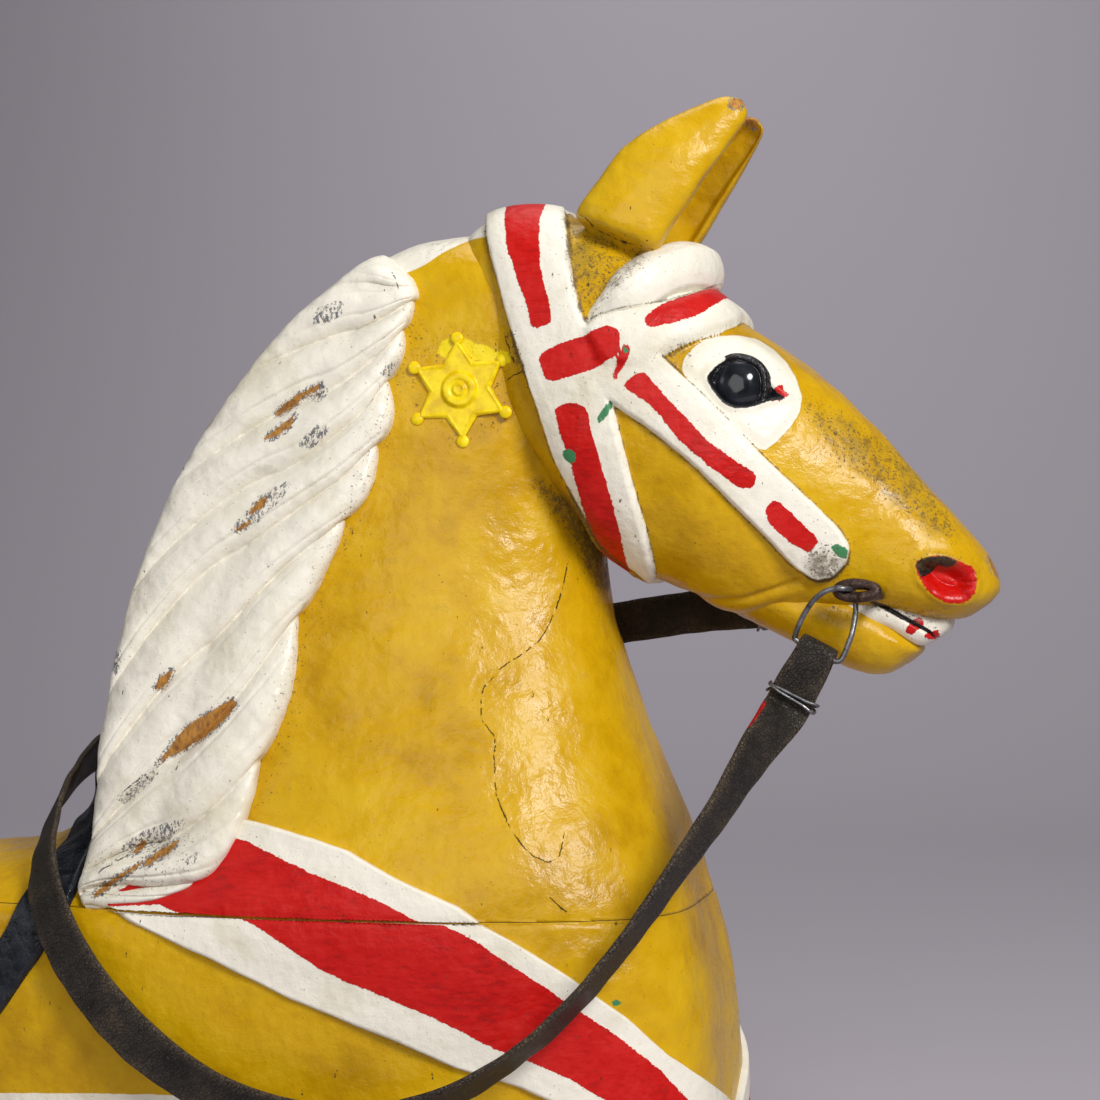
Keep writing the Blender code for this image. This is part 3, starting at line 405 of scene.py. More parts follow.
# Dirt and painted shade: an outline, and how dense it is. The patches under the jaw beside the crown strap,
# along the nostril's top edge and down the neck beside the mane are painted shade; the ring round the star is
# dirt and painted shade.
DIRT_AND_SHADE_AREAS = [
    ([(800, 400), (850, 420), (900, 452), (945, 505), (960, 540), (925, 530), (880, 492), (830, 450)], 1.0),
    ([(808, 553), (828, 548), (846, 560), (836, 580), (815, 580)], 1.2),
    ([(655, 352), (690, 344), (684, 372), (666, 362)], 0.8),
    ([(493, 389), (524, 370), (518, 345), (505, 333), (514, 372)], 1.1),
    # painted shade: darker under the jaw, beside the crown strap
    ([(530, 480), (548, 500), (570, 530), (585, 560), (600, 590), (622, 590), (600, 545), (575, 500)], 1.4),
    ([(560, 215), (600, 232), (655, 252), (600, 300), (583, 318)], 1.0),
    ([(415, 225), (450, 228), (455, 248), (425, 252)], 0.6),
    # painted shade: darker along the nostril's top edge
    ([(913, 562), (926, 556), (945, 554), (963, 560), (955, 568), (938, 567), (922, 574)], 1.1),
    ([(861, 598), (885, 603), (915, 610), (948, 616), (946, 624), (915, 620), (880, 612)], 1.0),
    # dirt and painted shade: darker round the star
    ([(415, 345), (461, 330), (506, 355), (512, 415), (461, 450), (408, 418)], 0.5),
    # painted shade: a darker band down the neck beside the mane
    ([(400, 290), (404, 330), (378, 400), (345, 500), (303, 590), (278, 690), (255, 800), (275, 800),
      (300, 700), (325, 600), (365, 510), (400, 410), (425, 330)], 0.55),
    ([(85, 850), (200, 830), (195, 880), (95, 900)], 0.6),
]


def carved(places):
    """Places of the carver's side view, in millimetres, as places in the frame."""
    return np.asarray(places, float) * MM + (NECK_MIDDLE_X, 0.0, 0.0)


def seen(places):
    """Where places lie in the photograph. The left side is taken as the right side's mirror image."""
    x, y, z = (places - np.array(CAMERA_AIM)).T
    y = -np.abs(y)
    sine, cosine = math.sin(CAMERA_TURN), math.cos(CAMERA_TURN)
    away = CAMERA_DISTANCE - x * sine + y * cosine
    middle = PHOTO_PIXELS / 2
    across = middle + CAMERA_FOCUS_PIXELS * (x * cosine + y * sine) / away
    return np.stack([across, middle - CAMERA_FOCUS_PIXELS * z / away], axis=1)


def along(rows, at):
    """The rows read at places from 0 to 1, on a smooth curve through them."""
    rows = np.asarray(rows, float)
    last = len(rows) - 1
    place = np.clip(np.asarray(at, float), 0.0, 1.0) * last
    i = np.minimum(place.astype(int), last - 1)
    u = (place - i)[:, None]
    before, start, end, after = (rows[np.clip(i + k, 0, last)] for k in (-1, 0, 1, 2))
    bend = 2 * before - 5 * start + 4 * end - after
    twist = 3 * start - before - 3 * end + after
    return 0.5 * (2 * start + (end - before) * u + bend * u ** 2 + twist * u ** 3)


def smooth_step(value, low, high):
    share = np.clip((value - low) / (high - low), 0.0, 1.0)
    return share * share * (3.0 - 2.0 * share)


def unit(vectors):
    return vectors / np.linalg.norm(vectors, axis=1)[:, None]


def rounded(outline, closed=True):
    """An outline with its corners cut a little, as a brush or a knife leaves it."""
    points = np.asarray(outline, float)
    ahead = np.roll(points, -1, axis=0)
    cut = np.stack([points * 0.85 + ahead * 0.15, points * 0.15 + ahead * 0.85], axis=1).reshape(-1, 2)
    return cut if closed else np.concatenate([points[:1], cut[:-2], points[-1:]])


def inside_by(spots, outline, reach=14.0):
    """How far inside an outline each spot lies, negative outside, and no more than reach either way."""
    outline = rounded(outline)
    result = np.full(len(spots), -reach)
    low, high = outline.min(0) - reach, outline.max(0) + reach
    near = np.all((spots > low) & (spots < high), axis=1)
    x, y = spots[near].T
    least = np.full(len(x), reach)
    inside = np.zeros(len(x), bool)
    for (ax, ay), (bx, by) in zip(outline, np.roll(outline, -1, axis=0)):
        length = max((bx - ax) ** 2 + (by - ay) ** 2, 1e-9)
        t = np.clip(((x - ax) * (bx - ax) + (y - ay) * (by - ay)) / length, 0.0, 1.0)
        least = np.minimum(least, np.hypot(x - ax - t * (bx - ax), y - ay - t * (by - ay)))
        if ay != by:
            inside ^= ((ay > y) != (by > y)) & (x < (bx - ax) * (y - ay) / (by - ay) + ax)
    result[near] = np.where(inside, least, -least)
    return result


def inside_any(spots, outlines, reach=14.0):
    result = np.full(len(spots), -reach)
    for outline in outlines:
        result = np.maximum(result, inside_by(spots, outline, reach))
    return result


def beside_line(spots, line, reach=10.0):
    """The signed distance from an open line, and how fully its crack shows there, from 0 to 1."""
    line = rounded(line, closed=False)
    lengths = np.hypot(*np.diff(line, axis=0).T)
    starts = np.concatenate([[0.0], np.cumsum(lengths)])
    x, y = spots.T
    best = np.full(len(x), 1e9)
    signed = np.full(len(x), reach)
    travel = np.zeros(len(x))
    for k, ((ax, ay), (bx, by)) in enumerate(zip(line[:-1], line[1:])):
        length = max(lengths[k], 1e-6)
        t = np.clip(((x - ax) * (bx - ax) + (y - ay) * (by - ay)) / length ** 2, 0.0, 1.0)
        distance = np.hypot(x - ax - t * (bx - ax), y - ay - t * (by - ay))
        side = np.sign((bx - ax) * (y - ay) - (by - ay) * (x - ax))
        closer = distance < best
        best = np.where(closer, distance, best)
        signed = np.where(closer, distance * side, signed)
        travel = np.where(closer, starts[k] + t * length, travel)
    ends = np.minimum(travel, starts[-1] - travel)
    return signed, smooth_step(ends, 0.3, 4.0) * smooth_step(-best, -reach, -reach * 0.5)


def lumps(places, size, seed, waves=14):
    """An even field of soft lumps about one size in metres wide, mostly between -1 and 1."""
    random = np.random.default_rng(seed)
    total = np.zeros(len(places))
    for _ in range(waves):
        way = random.normal(size=3)
        way *= random.uniform(0.7, 1.4) * 2 * math.pi / (size * 2 * np.linalg.norm(way))
        total += np.cos(places @ way + random.uniform(0, 2 * math.pi))
    return total / math.sqrt(waves)


def swelling(places, *swells):
    """The sum of several fields of lumps, each a height in mm, a size in metres and a seed."""
    return sum(height * lumps(places, size, seed) for height, size, seed in swells)


def fine(count):
    return max(8, int(count * DETAIL))


# Pieces

def rolled(around, rows, place):
    """A closed form: a grid whose sides are rolled up until they meet, its open ends filled flat."""
    bm = bmesh.new()
    bmesh.ops.create_grid(bm, x_segments=around, y_segments=rows, size=0.5)
    turn, at, _ = (np.array([v.co for v in bm.verts]) + 0.5).T
    for v, spot in zip(bm.verts, place(np.clip(turn, 0, 1), np.clip(at, 0, 1))):
        v.co = spot
    bmesh.ops.remove_doubles(bm, verts=bm.verts, dist=0.00002)
    bmesh.ops.holes_fill(bm, edges=[e for e in bm.edges if e.is_boundary], sides=0)
    bmesh.ops.recalc_face_normals(bm, faces=bm.faces)
    return bm


def keep_side(bm, axis, value, way, material=0):
    """Saws the form off at a plane across one axis, drops what lies that way of it, and fills the cut."""
    point, outward = Vector(), Vector()
    point["xyz".index(axis)] = value
    outward["xyz".index(axis)] = way
    everything = bm.verts[:] + bm.edges[:] + bm.faces[:]
    bmesh.ops.bisect_plane(bm, geom=everything, plane_co=point, plane_no=outward, clear_outer=True)
    known = set(bm.faces)
    bmesh.ops.holes_fill(bm, edges=[e for e in bm.edges if e.is_boundary], sides=0)
    for face in bm.faces:
        if face not in known:
            face.material_index = material
            face.smooth = False


def piece(bm, name, materials, slot, *nodes):
    """A finished piece that rides on the frame and stands for some of its nodes."""
    mesh = bpy.data.meshes.new(name)
    for face in bm.faces:
        face.smooth = face.material_index == 0
    bm.to_mesh(mesh)
    bm.free()
    made = bpy.data.objects.new(name, mesh)
    bpy.context.scene.collection.objects.link(made)
    for material in materials:
        mesh.materials.append(material)
    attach(made, "root")
    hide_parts(*nodes)
    return made


def places_of(made):
    spots = np.empty(len(made.data.vertices) * 3, np.float32)
    made.data.vertices.foreach_get("co", spots)
    return spots.reshape(-1, 3).astype(float)


def normals_of(made):
    ways = np.empty(len(made.data.vertices) * 3, np.float32)
    made.data.vertex_normals.foreach_get("vector", ways)
    return ways.reshape(-1, 3).astype(float)


def raise_skin(made, height_mm):
    """Moves each point of a piece along its normal by its height in millimetres."""
    spots = places_of(made) + normals_of(made) * height_mm[:, None] * MM
    made.data.vertices.foreach_set("co", spots.astype(np.float32).ravel())
    made.data.update()


def note(made, name, values):
    made.data.attributes.new(name, "FLOAT", "POINT").data.foreach_set("value", values.astype(np.float32))


def mark_paint(made, white=None, red=None):
    """Writes down where each colour, chip, crack, patch of dirt and patch of painted shade lies on a painted
    piece.
    """
    spots = seen(places_of(made))
    if white is None:
        white = inside_any(spots, WHITE_AREAS)
    if red is None:
        red = inside_any(spots, RED_AREAS)
    flaked = np.minimum(inside_any(spots, PRIMER_AREAS), 0.0) - PRIMER_SHY_PX
    cracks = [beside_line(spots, line) for line in CRACKS]
    nearest = np.argmax([shown for _, shown in cracks], axis=0)
    pick = np.arange(len(spots))
    dirt_and_shade = np.zeros(len(spots))
    for outline, dense in DIRT_AND_SHADE_AREAS:
        dirt_and_shade = np.maximum(dirt_and_shade, dense * smooth_step(inside_by(spots, outline, 20.0), -16.0, 8.0))
    # dirt and painted shade along the outside of the straps' edges
    edges = inside_any(spots, STRAPS, 6.0)
    for name, values in (("white", np.broadcast_to(white, len(spots))),
                         ("red", np.broadcast_to(red, len(spots))),
                         ("bare", np.maximum(inside_any(spots, BARE_AREAS), flaked)),
                         ("green", inside_any(spots, GREEN_CHIPS)),
                         ("lemon", inside_by(spots, LEMON_SMEAR)),
                         ("black", inside_any(spots, BLACK_AND_SHADE_AREAS)),
                         ("crack", np.array([signed for signed, _ in cracks])[nearest, pick]),
                         ("crack_shown", np.array([shown for _, shown in cracks])[nearest, pick]),
                         ("dirt_and_shade", dirt_and_shade + STRAP_EDGE_DIRT_AND_SHADE * np.exp(-((edges + 1.0) / 1.3) ** 2))):
        note(made, name, values)


# Materials

class Finish:
    """Shorthand for the nodes of one material."""

    def __init__(self, name, specular=0.28, metallic=0.0):
        self.material = bpy.data.materials.new(name)
        self.material.use_nodes = True
        self.tree = self.material.node_tree
        self.shader = self.tree.nodes["Principled BSDF"]
        self.shader.inputs["Specular IOR Level"].default_value = specular
        self.shader.inputs["Metallic"].default_value = metallic
        self.place = self.tree.nodes.new("ShaderNodeTexCoord").outputs["Object"]

    def put(self, socket, value):
        if isinstance(value, bpy.types.NodeSocket):
            self.tree.links.new(value, socket)
        elif isinstance(value, tuple) and len(value) == 3 and socket.type == "RGBA":
            socket.default_value = (*value, 1.0)
        else:
            socket.default_value = value

    def math(self, operation, a, b=0.0):
        node = self.tree.nodes.new("ShaderNodeMath")
        node.operation = operation
        self.put(node.inputs[0], a)
        self.put(node.inputs[1], b)
        return node.outputs[0]

    def times(self, a, b):
        return self.math("MULTIPLY", a, b)

    def sum(self, *parts):
        """Adds up values, each with how many times it is taken."""
        total = 0.0
        for value, factor in parts:
            if factor:
                total = self.math("ADD", total, self.times(value, factor))
        return total

    def field(self, name):
        node = self.tree.nodes.new("ShaderNodeAttribute")
        node.attribute_name = name
        return node.outputs["Fac"]

    def stretched(self, stretch, turn=(0.0, 0.0, 0.0)):
        node = self.tree.nodes.new("ShaderNodeMapping")
        self.put(node.inputs["Vector"], self.place)
        node.inputs["Rotation"].default_value = turn
        node.inputs["Scale"].default_value = stretch
        return node.outputs["Vector"]

    def noise(self, size_mm, detail=3.0, rough=0.55, place=None):
        node = self.tree.nodes.new("ShaderNodeTexNoise")
        self.put(node.inputs["Vector"], place or self.place)
        node.inputs["Scale"].default_value = 1.0 / (size_mm * MM)
        node.inputs["Detail"].default_value = detail
        node.inputs["Roughness"].default_value = rough
        return node.outputs["Fac"]

    def cells(self, size_mm, feature="F1", place=None):
        node = self.tree.nodes.new("ShaderNodeTexVoronoi")
        node.feature = feature
        self.put(node.inputs["Vector"], place or self.place)
        node.inputs["Scale"].default_value = 1.0 / (size_mm * MM)
        return node.outputs["Distance"]

    def step(self, value, low, high, start=0.0, end=1.0):
        node = self.tree.nodes.new("ShaderNodeMapRange")
        node.interpolation_type = "SMOOTHSTEP"
        for name, given in (("Value", value), ("From Min", low), ("From Max", high),
                            ("To Min", start), ("To Max", end)):
            self.put(node.inputs[name], given)
        return node.outputs["Result"]

    def blend(self, share, a, b):
        node = self.tree.nodes.new("ShaderNodeMix")
        node.data_type = "RGBA"
        self.put(node.inputs["Factor"], share)
        self.put(node.inputs[6], a)
        self.put(node.inputs[7], b)
        return node.outputs[2]

    def ramp(self, value, *stops):
        node = self.tree.nodes.new("ShaderNodeValToRGB")
        points = node.color_ramp.elements
        while len(points) < len(stops):
            points.new(0.5)
        for point, (position, colour) in zip(points, stops):
            point.position = position
            point.color = (*colour, 1.0)
        self.put(node.inputs["Fac"], value)
        return node.outputs["Color"]

    def bump(self, height_mm):
        node = self.tree.nodes.new("ShaderNodeBump")
        node.inputs["Strength"].default_value = 1.0
        node.inputs["Distance"].default_value = MM
        self.put(node.inputs["Height"], height_mm)
        self.put(self.shader.inputs["Normal"], node.outputs["Normal"])

    def done(self, colour, roughness):
        self.put(self.shader.inputs["Base Color"], colour)
        self.put(self.shader.inputs["Roughness"], roughness)
        return self.material


DEEP_OCHRE = (0.44, 0.225, 0.002)
MUSTARD = (0.60, 0.338, 0.002)
LIT_MUSTARD = (0.68, 0.415, 0.007)
CREAM = (0.86, 0.81, 0.69)
DULL_CREAM = (0.74, 0.68, 0.53)
RED = (0.55, 0.004, 0.002)
DEEP_RED = (0.40, 0.003, 0.002)
PINKISH_RED = (0.60, 0.014, 0.010)
LEMON = (0.86, 0.66, 0.002)
BLACK_PAINT = (0.008, 0.008, 0.010)
GREEN = (0.05, 0.22, 0.09)
# grime brown: the colour of dirt, and of painted shade
GRIME_AND_SHADE = (0.10, 0.062, 0.022)
BARE_WOOD = (0.24, 0.105, 0.032)
WARM_WOOD = (0.52, 0.24, 0.045)
GREY_PRIMER = (0.16, 0.16, 0.17)
NICK_BROWN = (0.05, 0.03, 0.012)
CRACK_BROWN = (0.03, 0.018, 0.008)
RIM_BLACK = (0.007, 0.006, 0.007)


def old_paint(name, ground):
    """Thick hand-brushed enamel over carved wood, with stripes, chips, cracks, dirt and painted shade."""
    mix = Finish(name)
    waver = mix.math("SUBTRACT", mix.noise(9.0, 3.0), 0.5)
    fray = mix.math("SUBTRACT", mix.noise(1.6, 4.0, 0.7), 0.5)
    mottle = mix.noise(22.0, 4.0, 0.6)
    specks = mix.noise(1.5, 2.0)
    strokes = mix.noise(2.2, 3.0, 0.6, mix.stretched((0.22, 1.0, 1.0), (0.0, 0.45, 0.0)))

    tone = mix.sum((mix.noise(95.0, 3.0), 0.55), (mottle, 0.45))
    cream = mix.ramp(tone, (0.38, DULL_CREAM), (0.52, CREAM))
    red = mix.ramp(mix.sum((strokes, 0.5), (mottle, 0.5)), (0.36, DEEP_RED), (0.48, RED), (0.68, PINKISH_RED))
    colour = cream
    if ground == "yellow":
        colour = mix.ramp(tone, (0.34, DEEP_OCHRE), (0.5, MUSTARD), (0.66, LIT_MUSTARD))

    # Each coat over the last: its field, how far its edge wavers and frays, where its edge lies, its colour
    coat_in = {}
    for coat, wavers, frays, low, high, tint in (("lemon", 14.0, 0.0, -1.0, 1.5, LEMON),
                                                 ("white", 2.2, 1.2, -0.5, 0.5, cream),
                                                 ("red", 4.0, 4.6, -1.9, -1.3, red),
                                                 # the black coat: black paint, and painted shade at the
                                                 # nostril's top edge
                                                 ("black", 0.0, 3.0, -0.6, 0.4, BLACK_PAINT),
                                                 ("green", 0.0, 5.0, -0.4, 0.4, GREEN)):
        edge = mix.sum((mix.field(coat), 1.0), (waver, wavers), (fray, frays))
        coat_in[coat] = mix.step(edge, low, high)
        colour = mix.blend(coat_in[coat], colour, tint)

    # Darkened towards grime brown where this field is high: dirt, and painted shade under the jaw, at the
    # nostril's top edge, beside the mane, round the star and along the straps' edges.
    dirt_and_shade = mix.field("dirt_and_shade")
    soot_and_shade = mix.step(mix.sum((dirt_and_shade, 0.20), (mix.noise(5.0, 5.0, 0.78), 1.0)), 0.68, 0.82, 0.0, 0.6)
    pepper = mix.step(mix.sum((dirt_and_shade, 0.13), (specks, 1.0)), 0.70, 0.76, 0.0, 0.85)
    smear_and_shade = mix.step(mix.sum((dirt_and_shade, 0.25), (mottle, 1.0)), 0.62, 0.95, 0.0, 0.5)
    colour = mix.blend(smear_and_shade, colour, GRIME_AND_SHADE)
    colour = mix.blend(mix.math("MAXIMUM", soot_and_shade, pepper), colour, GRIME_AND_SHADE)

    nicks = mix.noise(7.0, 2.0, 0.5, mix.stretched((1.6, 1.6, 0.45), (0.0, 0.35, 0.0)))
    nick_in = mix.times(mix.step(nicks, 0.735, 0.76), mix.step(mix.noise(2.2, 3.0), 0.45, 0.55))
    colour = mix.blend(mix.times(nick_in, 0.85), colour, NICK_BROWN)

    bare = mix.sum((mix.field("bare"), 1.0), (fray, 9.0), (waver, 5.0))
    bare_in = mix.step(bare, -0.5, 0.5)
    grain = mix.noise(2.2, 4.0, 0.7, mix.stretched((1.0, 1.0, 0.3), (0.0, 0.9, 0.0)))
    flakes = mix.noise(3.2, 4.0, 0.8, mix.stretched((1.7, 1.7, 0.7), (0.0, -0.6, 0.0)))
    flaked = mix.times(mix.step(bare, -3.2, -2.2), mix.step(flakes, 0.49, 0.53))
    colour = mix.blend(flaked, colour, GREY_PRIMER)
    colour = mix.blend(bare_in, colour, mix.ramp(grain, (0.35, BARE_WOOD), (0.6, WARM_WOOD)))

    beside = mix.math("ABSOLUTE", mix.sum((mix.field("crack"), 1.0), (waver, 5.0), (fray, 3.0)))
    broken = mix.times(mix.step(beside, 0.75, 0.15), mix.step(mix.noise(4.0, 3.0), 0.44, 0.52))
    crack_in = mix.times(broken, mix.field("crack_shown"))
    colour = mix.blend(crack_in, colour, CRACK_BROWN)

    mix.bump(mix.sum((mix.noise(24.0, 2.0), 1.4), (mix.noise(6.0, 3.0, 0.6), 0.58),
                     (mix.step(mix.cells(19.0), 0.0, 0.42), 0.16), (strokes, 0.10), (specks, 0.03),
                     (coat_in["white"], 0.16), (coat_in["red"], 0.12), (coat_in["black"], 0.2),
                     (bare_in, -0.45), (crack_in, -0.7), (nick_in, -0.3), (mix.times(bare_in, grain), 0.5)))
    gloss = mix.sum((mix.step(mottle, 0.3, 0.7, 0.24, 0.36), 1.0), (coat_in["white"], 0.12), (smear_and_shade, 0.3),
                    (bare_in, 0.35), (pepper, 0.3))
    return mix.done(colour, gloss)


def sawn_wood(name):
    """Glued-up planks, sawn off flat, with growth rings and glue lines."""
    mix = Finish(name)
    apart = mix.tree.nodes.new("ShaderNodeSeparateXYZ")
    mix.put(apart.inputs[0], mix.place)
    across = mix.sum((apart.outputs["Y"], 1.0), (mix.noise(60.0, 2.0), 0.02), (apart.outputs["Z"], 0.6))
    rings = mix.math("SINE", mix.times(across, RING_RADIANS_PER_METRE))
    grain = mix.noise(3.0, 4.0, 0.65, mix.stretched((0.2, 1.0, 1.0)))
    wood = mix.ramp(mix.sum((rings, 0.16), (grain, 1.0)), (0.3, (0.30, 0.17, 0.075)),
                    (0.55, (0.50, 0.32, 0.16)), (0.8, (0.62, 0.44, 0.25)))
    seam_in = mix.step(mix.math("PINGPONG", apart.outputs["Z"], JOINT_HEIGHT / 4), 0.0006, 0.0002)
    mix.bump(mix.sum((grain, 0.35), (seam_in, -0.4)))
    return mix.done(mix.blend(seam_in, wood, (0.07, 0.04, 0.02)), 0.72)


def eye_glass(name):
    """Dark polished glass, with black paint brushed over its rim."""
    mix = Finish(name, 0.5)
    painted = mix.field("painted")
    haze = mix.noise(11.0, 3.0)
    glass = mix.ramp(haze, (0.35, (0.006, 0.007, 0.009)), (0.68, (0.016, 0.019, 0.025)))
    mix.bump(mix.times(mix.times(mix.noise(2.4, 3.0, 0.6), 1.2), painted))
    gloss = mix.sum((mix.step(haze, 0.35, 0.7, 0.10, 0.20), 1.0), (painted, 0.12))
    return mix.done(mix.blend(painted, glass, RIM_BLACK), gloss)


def black_enamel(name):
    """Lumpy glossy black paint, rubbed grey in places."""
    mix = Finish(name)
    lump = mix.noise(7.0, 4.0, 0.6)
    worn = mix.step(mix.noise(3.0, 4.0, 0.7), 0.60, 0.72)
    black = mix.ramp(lump, (0.3, (0.006, 0.007, 0.010)), (0.7, (0.028, 0.031, 0.038)))
    mix.bump(mix.sum((lump, 1.3), (mix.noise(1.8, 2.0), 0.12)))
    colour = mix.blend(mix.times(worn, 0.5), black, (0.12, 0.12, 0.13))
    return mix.done(colour, mix.step(lump, 0.3, 0.7, 0.18, 0.36))


def badge_paint(name):
    """Lemon yellow enamel, thickly brushed over pressed metal."""
    mix = Finish(name)
    pool = mix.noise(7.0, 3.0)
    rub = mix.step(mix.noise(2.0, 4.0, 0.7), 0.63, 0.70)
    lemon = mix.ramp(pool, (0.3, (0.70, 0.45, 0.001)), (0.55, (0.90, 0.66, 0.002)),
                     (0.75, (0.95, 0.76, 0.02)))
    mix.bump(mix.sum((pool, 0.35), (mix.noise(1.2, 2.0), 0.04)))
    colour = mix.blend(mix.times(rub, 0.55), lemon, (0.45, 0.30, 0.05))
    return mix.done(colour, mix.step(pool, 0.3, 0.7, 0.22, 0.34))


def old_iron(name):
    """Dark red-brown iron under thick old paint."""
    mix = Finish(name, metallic=0.35)
    lump = mix.noise(4.0, 4.0, 0.65)
    rust = mix.step(mix.noise(2.0, 4.0, 0.7), 0.52, 0.62)
    iron = mix.ramp(lump, (0.3, (0.022, 0.014, 0.011)), (0.7, (0.075, 0.045, 0.035)))
    mix.bump(mix.sum((lump, 0.7), (mix.noise(1.0, 2.0), 0.08)))
    colour = mix.blend(mix.times(rust, 0.4), iron, (0.16, 0.065, 0.03))
    return mix.done(colour, mix.step(lump, 0.3, 0.7, 0.24, 0.42))


def grey_wire(name):
    """Dull galvanised wire."""
    mix = Finish(name, metallic=0.85)
    stain = mix.noise(5.0, 4.0, 0.65)
    mix.bump(mix.times(mix.noise(1.4, 3.0), 0.08))
    grey = mix.ramp(stain, (0.35, (0.07, 0.065, 0.06)), (0.6, (0.24, 0.24, 0.25)), (0.75, (0.36, 0.36, 0.37)))
    return mix.done(grey, mix.step(stain, 0.3, 0.7, 0.48, 0.30))


def rein_leather(name):
    """Dry old leather: a net of cracks across it, dark in the cracks and dusty brown on worn edges."""
    mix = Finish(name)
    wide_cracks = mix.cells(6.5, "DISTANCE_TO_EDGE", mix.stretched((1.0, 1.0, 1.5)))
    wear = mix.noise(26.0, 4.0, 0.65)
    fleck = mix.noise(1.1, 3.0, 0.7)
    colour = mix.ramp(wear, (0.32, (0.014, 0.011, 0.008)), (0.52, (0.035, 0.027, 0.020)),
                      (0.72, (0.085, 0.058, 0.034)))
    edge_worn = mix.times(mix.step(mix.field("edge"), 0.55, 1.0), mix.step(fleck, 0.40, 0.62))
    colour = mix.blend(mix.times(edge_worn, 0.55), colour, (0.17, 0.12, 0.075))
    fine_cracks = mix.cells(1.9, "DISTANCE_TO_EDGE")
    pits = mix.math("MINIMUM", mix.step(fine_cracks, 0.0, 0.12), mix.step(wide_cracks, 0.0, 0.05))
    colour = mix.blend(mix.step(pits, 0.0, 1.0, 0.75, 0.0), colour, (0.006, 0.005, 0.004))
    dab = mix.sum((mix.field("red"), 1.0), (mix.math("SUBTRACT", fleck, 0.5), 6.0))
    colour = mix.blend(mix.step(dab, -0.5, 0.5), colour, DEEP_RED)
    mix.bump(mix.sum((pits, 0.28), (mix.noise(9.0, 3.0), 0.5), (fleck, 0.08)))
    return mix.done(colour, mix.step(wear, 0.3, 0.7, 0.42, 0.62))


# The carving

def section_places(rows, turn):
    """Points round cross-sections at turns from 0 to 1, from the back edge down the right side."""
    back_x, back_z, front_x, front_z, half, back_round, front_round, widest = rows.T[:8]
    share = (1.0 - np.cos(2.0 * math.pi * turn)) / 2.0
    behind = np.clip(1.0 - (1.0 - share / widest) ** 2, 0.0, 1.0) ** back_round
    ahead = np.clip(1.0 - (1.0 - (1.0 - share) / (1.0 - widest)) ** 2, 0.0, 1.0) ** front_round
    side = np.where(turn <= 0.5, -1.0, 1.0)
    y = side * np.maximum(half, 0.0) * np.where(share < widest, behind, ahead)
    return np.stack([back_x + (front_x - back_x) * share, y, back_z + (front_z - back_z) * share], axis=1)


def right_side_finer(turn, share=0.6):
    """Gives the right side, which faces the camera, more than half of a form's columns."""
    right = turn * 0.5 / share
    left = 0.5 + (turn - share) * 0.5 / (1.0 - share)
    return np.where(turn < share, right, left)


def lofted(sections, grid, start=0.0, end=1.0, share=0.6):
    """A form lofted through cross-sections, on a grid of so many columns round and rows along."""
    def place(turn, at):
        rows_there = along(sections, start + (end - start) * at)
        return carved(section_places(rows_there, right_side_finer(turn, share)))
    return rolled(fine(grid[0]), fine(grid[1]), place)


def strap_height(depth):
    """The height of a strap's surface at a depth inside its outline, in pixels: soft edges, a low crown."""
    return STRAP_RELIEF_MM * smooth_step(depth, -0.6, 3.2) + 0.5 * smooth_step(depth, 2.0, 16.0)


def neck_blocks(paint, sawn):
    """The neck and chest: a lower and an upper block, glued at an open joint."""
    last = len(BODY_SECTIONS) - 1
    for name, rows, grid, right_share, joint, way, lip_mm in (
            ("chest_block", CHEST_BLOCK_ROWS, (640, 96), 0.58, JOINT_HEIGHT, 1, -1.0),
            ("neck_block", NECK_BLOCK_ROWS, (340, 200), 0.64, JOINT_HEIGHT + JOINT_GAP, -1, -0.35)):
        bm = lofted(BODY_SECTIONS, grid, rows[0] / last, rows[1] / last, right_share)
        keep_side(bm, "z", 0.0, -1, SAWN)
        keep_side(bm, "x", REAR_X, -1, SAWN)
        keep_side(bm, "z", joint, way, SAWN)
        block = piece(bm, name, [paint, sawn], *HORSE)
        spots = places_of(block)
        from_joint = np.abs(spots[:, 2] - JOINT_HEIGHT)
        from_cuts = smooth_step(spots[:, 0], REAR_X + 0.0005, REAR_X + 0.006)
        from_cuts *= smooth_step(spots[:, 2], 0.0005, 0.006)
        swell = swelling(spots, (0.75, 0.045, 3), (0.30, 0.016, 4))
        from_star = np.hypot(*(seen(spots) - STAR_PIXEL).T)
        swell *= smooth_step(from_star, 50.0, 75.0)
        swell -= STAR_SEAT_MM * smooth_step(-from_star, -66.0, -46.0)
        lip = lip_mm * smooth_step(-from_joint, -0.0035, 0.0)
        raise_skin(block, (swell + lip) * (from_joint > JOINT_GAP * 2) * from_cuts)
        mark_paint(block)


